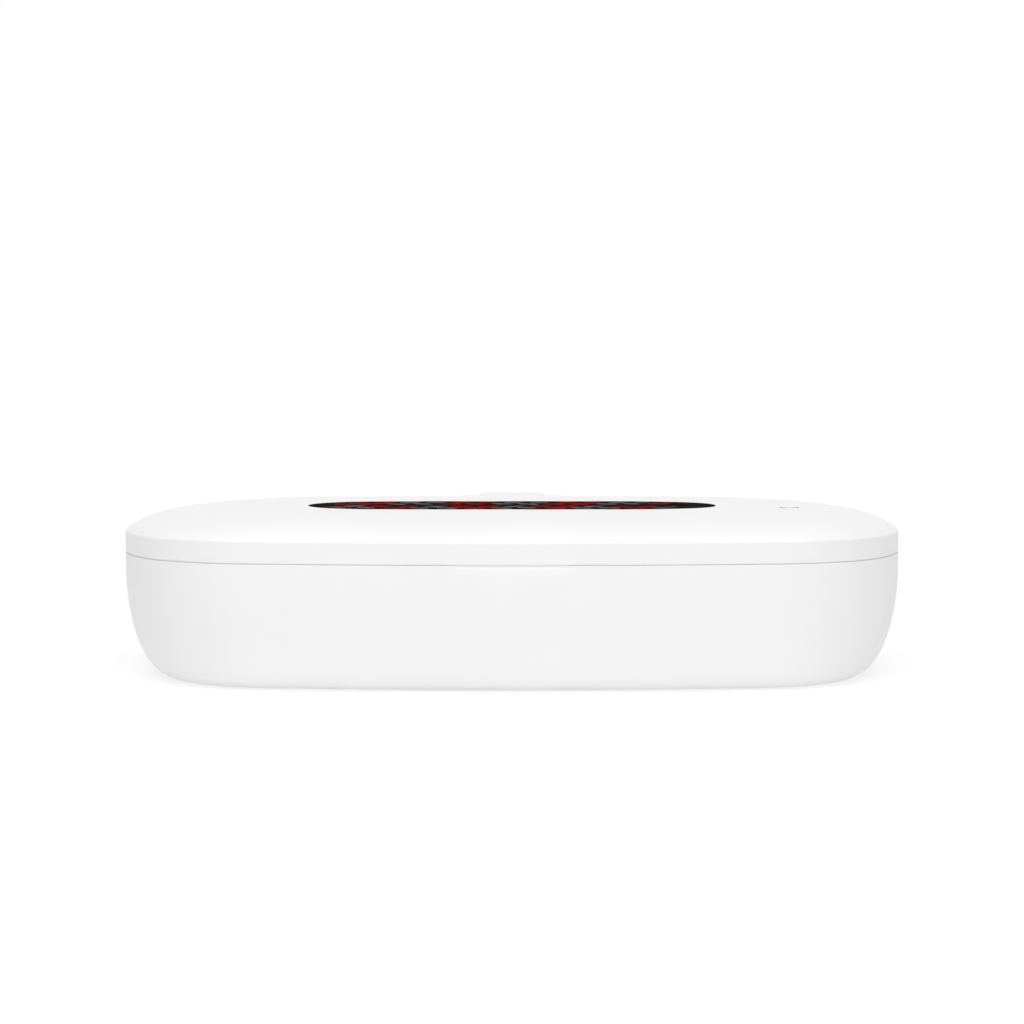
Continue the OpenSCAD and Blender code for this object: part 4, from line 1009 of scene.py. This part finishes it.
stops = even_stops(PRINT_L, -PRINT_L, 190) + [-PRINT_L]
ground = [(x, ground_edge(x, 1)) for x in stops] + [(x, ground_edge(x, -1)) for x in stops[-2:0:-1]]
leaves, stems, berries = ([], []), [], []
reach = PRINT_L - 5
for middle, turn in ((-9.7, 0.4), (9.7, 3.3)):
    rows = [(x, stem_y(x, middle, turn)) for x in even_stops(-reach, reach, 61)]
    stems.append([(x, y - STEM_W) for x, y in rows] + [(x, y + STEM_W) for x, y in rows[::-1]])
    for k in range(LEAVES):
        x = -reach + 2 + k * (2 * reach - 12) / (LEAVES - 1)
        y = stem_y(x, middle, turn)
        up = 1 if k % 2 else -1
        size = random.uniform(*LEAF_SIZES) * narrowing(x + 7) ** 2
        lean = up * random.uniform(*LEAF_TURNS)
        # the colours change in groups, after four leaves on one stem and three on the other
        group = k // 4 % 2 if turn > 1 else 1 - k // 3 % 2
        leaves[group].append(leaf(x, y + up * 0.4, size, size * 0.42, lean))
        if k % 4 == 1:
            berries.append(ring(x + 1.6, y - up * 2.4, BERRY_R, 14)(0))
for name, shapes, lift, ink in (
        ("print_ground", [ground], 0.02, ink_black), ("print_stems", stems, 0.035, ink_brown),
        ("print_red_leaves", leaves[0], 0.045, ink_red), ("print_grey_leaves", leaves[1], 0.045, ink_grey),
        ("print_berries", berries, 0.05, ink_brown)):
    done(film(name, shapes, lift), "lid", ink, angle=60)

# ---------------------------------------------------------------- finishes of the CAD nodes that show
for material, names in (
        (alumina, ("base_uv_leds", "lid_uv_leds")), (white_mask, ("base_led_board", "lid_led_board")),
        (green_mask, ("main_board", "lid_board", "lid_sensor")), (nickel, ("base_magnets", "lid_magnets")),
        (epoxy, ("board_parts", "lid_board_parts", "switch_body")), (ferrite, ("ferrite_sheet",)),
        (abs_button, ("switch_plunger",))):
    for name in names:
        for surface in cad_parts[name].material_slots:
            surface.material = material


# ---------------------------------------------------------------- table, sky and lamps
def seen_directly(tree):
    """1 for rays from the camera, a mirror or glass, and 0 for light that matt surfaces gather."""
    rays = node(tree, "LightPath").outputs
    seen = node(tree, "Math", {0: rays["Is Camera Ray"], 1: rays["Is Glossy Ray"]}, operation="MAXIMUM")
    return node(tree, "Math", {0: seen, 1: rays["Is Transmission Ray"]}, operation="MAXIMUM")


bpy.ops.mesh.primitive_plane_add(size=8, location=(0, 0, 0))
table = named("table_top")
table_paint = bpy.data.materials.new("table_white_matt")
table_paint.use_nodes = True
tree = table_paint.node_tree
tree.nodes.clear()
paint = node(tree, "BsdfDiffuse", {"Color": (0.72, 0.72, 0.72, 1)})
bounce = node(tree, "Emission", {"Color": (1, 1, 1, 1), "Strength": 0.304})
lit = node(tree, "AddShader", {0: paint, 1: bounce})
shown = node(tree, "BsdfDiffuse", {"Color": (0.35, 0.35, 0.35, 1)})
glow = node(tree, "Emission", {"Color": (1, 1, 1, 1), "Strength": 0.69})
white = node(tree, "AddShader", {0: shown, 1: glow})
mixed = node(tree, "MixShader", {0: seen_directly(tree), 1: lit, 2: white})
node(tree, "OutputMaterial", {"Surface": mixed})
table.data.materials.append(table_paint)

sky = bpy.data.worlds.new("white_room")
bpy.context.scene.world = sky
sky.use_nodes = True
tree = sky.node_tree
tree.nodes.clear()
strength = node(tree, "MapRange", {"Value": seen_directly(tree), "To Min": 0.222, "To Max": 1.0})
glow = node(tree, "Background", {"Color": (1, 1, 1, 1), "Strength": strength})
node(tree, "OutputWorld", {"Surface": glow})


def soft_lamp(name, towards, spread, power):
    """A wide, even lamp far away, whose light comes from a direction."""
    lamp = bpy.data.lights.new(name, "SUN")
    lamp.angle, lamp.energy = math.radians(spread), power
    held = bpy.data.objects.new(name, lamp)
    bpy.context.scene.collection.objects.link(held)
    held.rotation_euler = (-Vector(towards)).to_track_quat("-Z", "Y").to_euler()


soft_lamp("top_softbox", (0, -0.252, 0.968), 60, 1.81)
soft_lamp("front_softbox", (0, -0.866, 0.5), 60, 0.803)
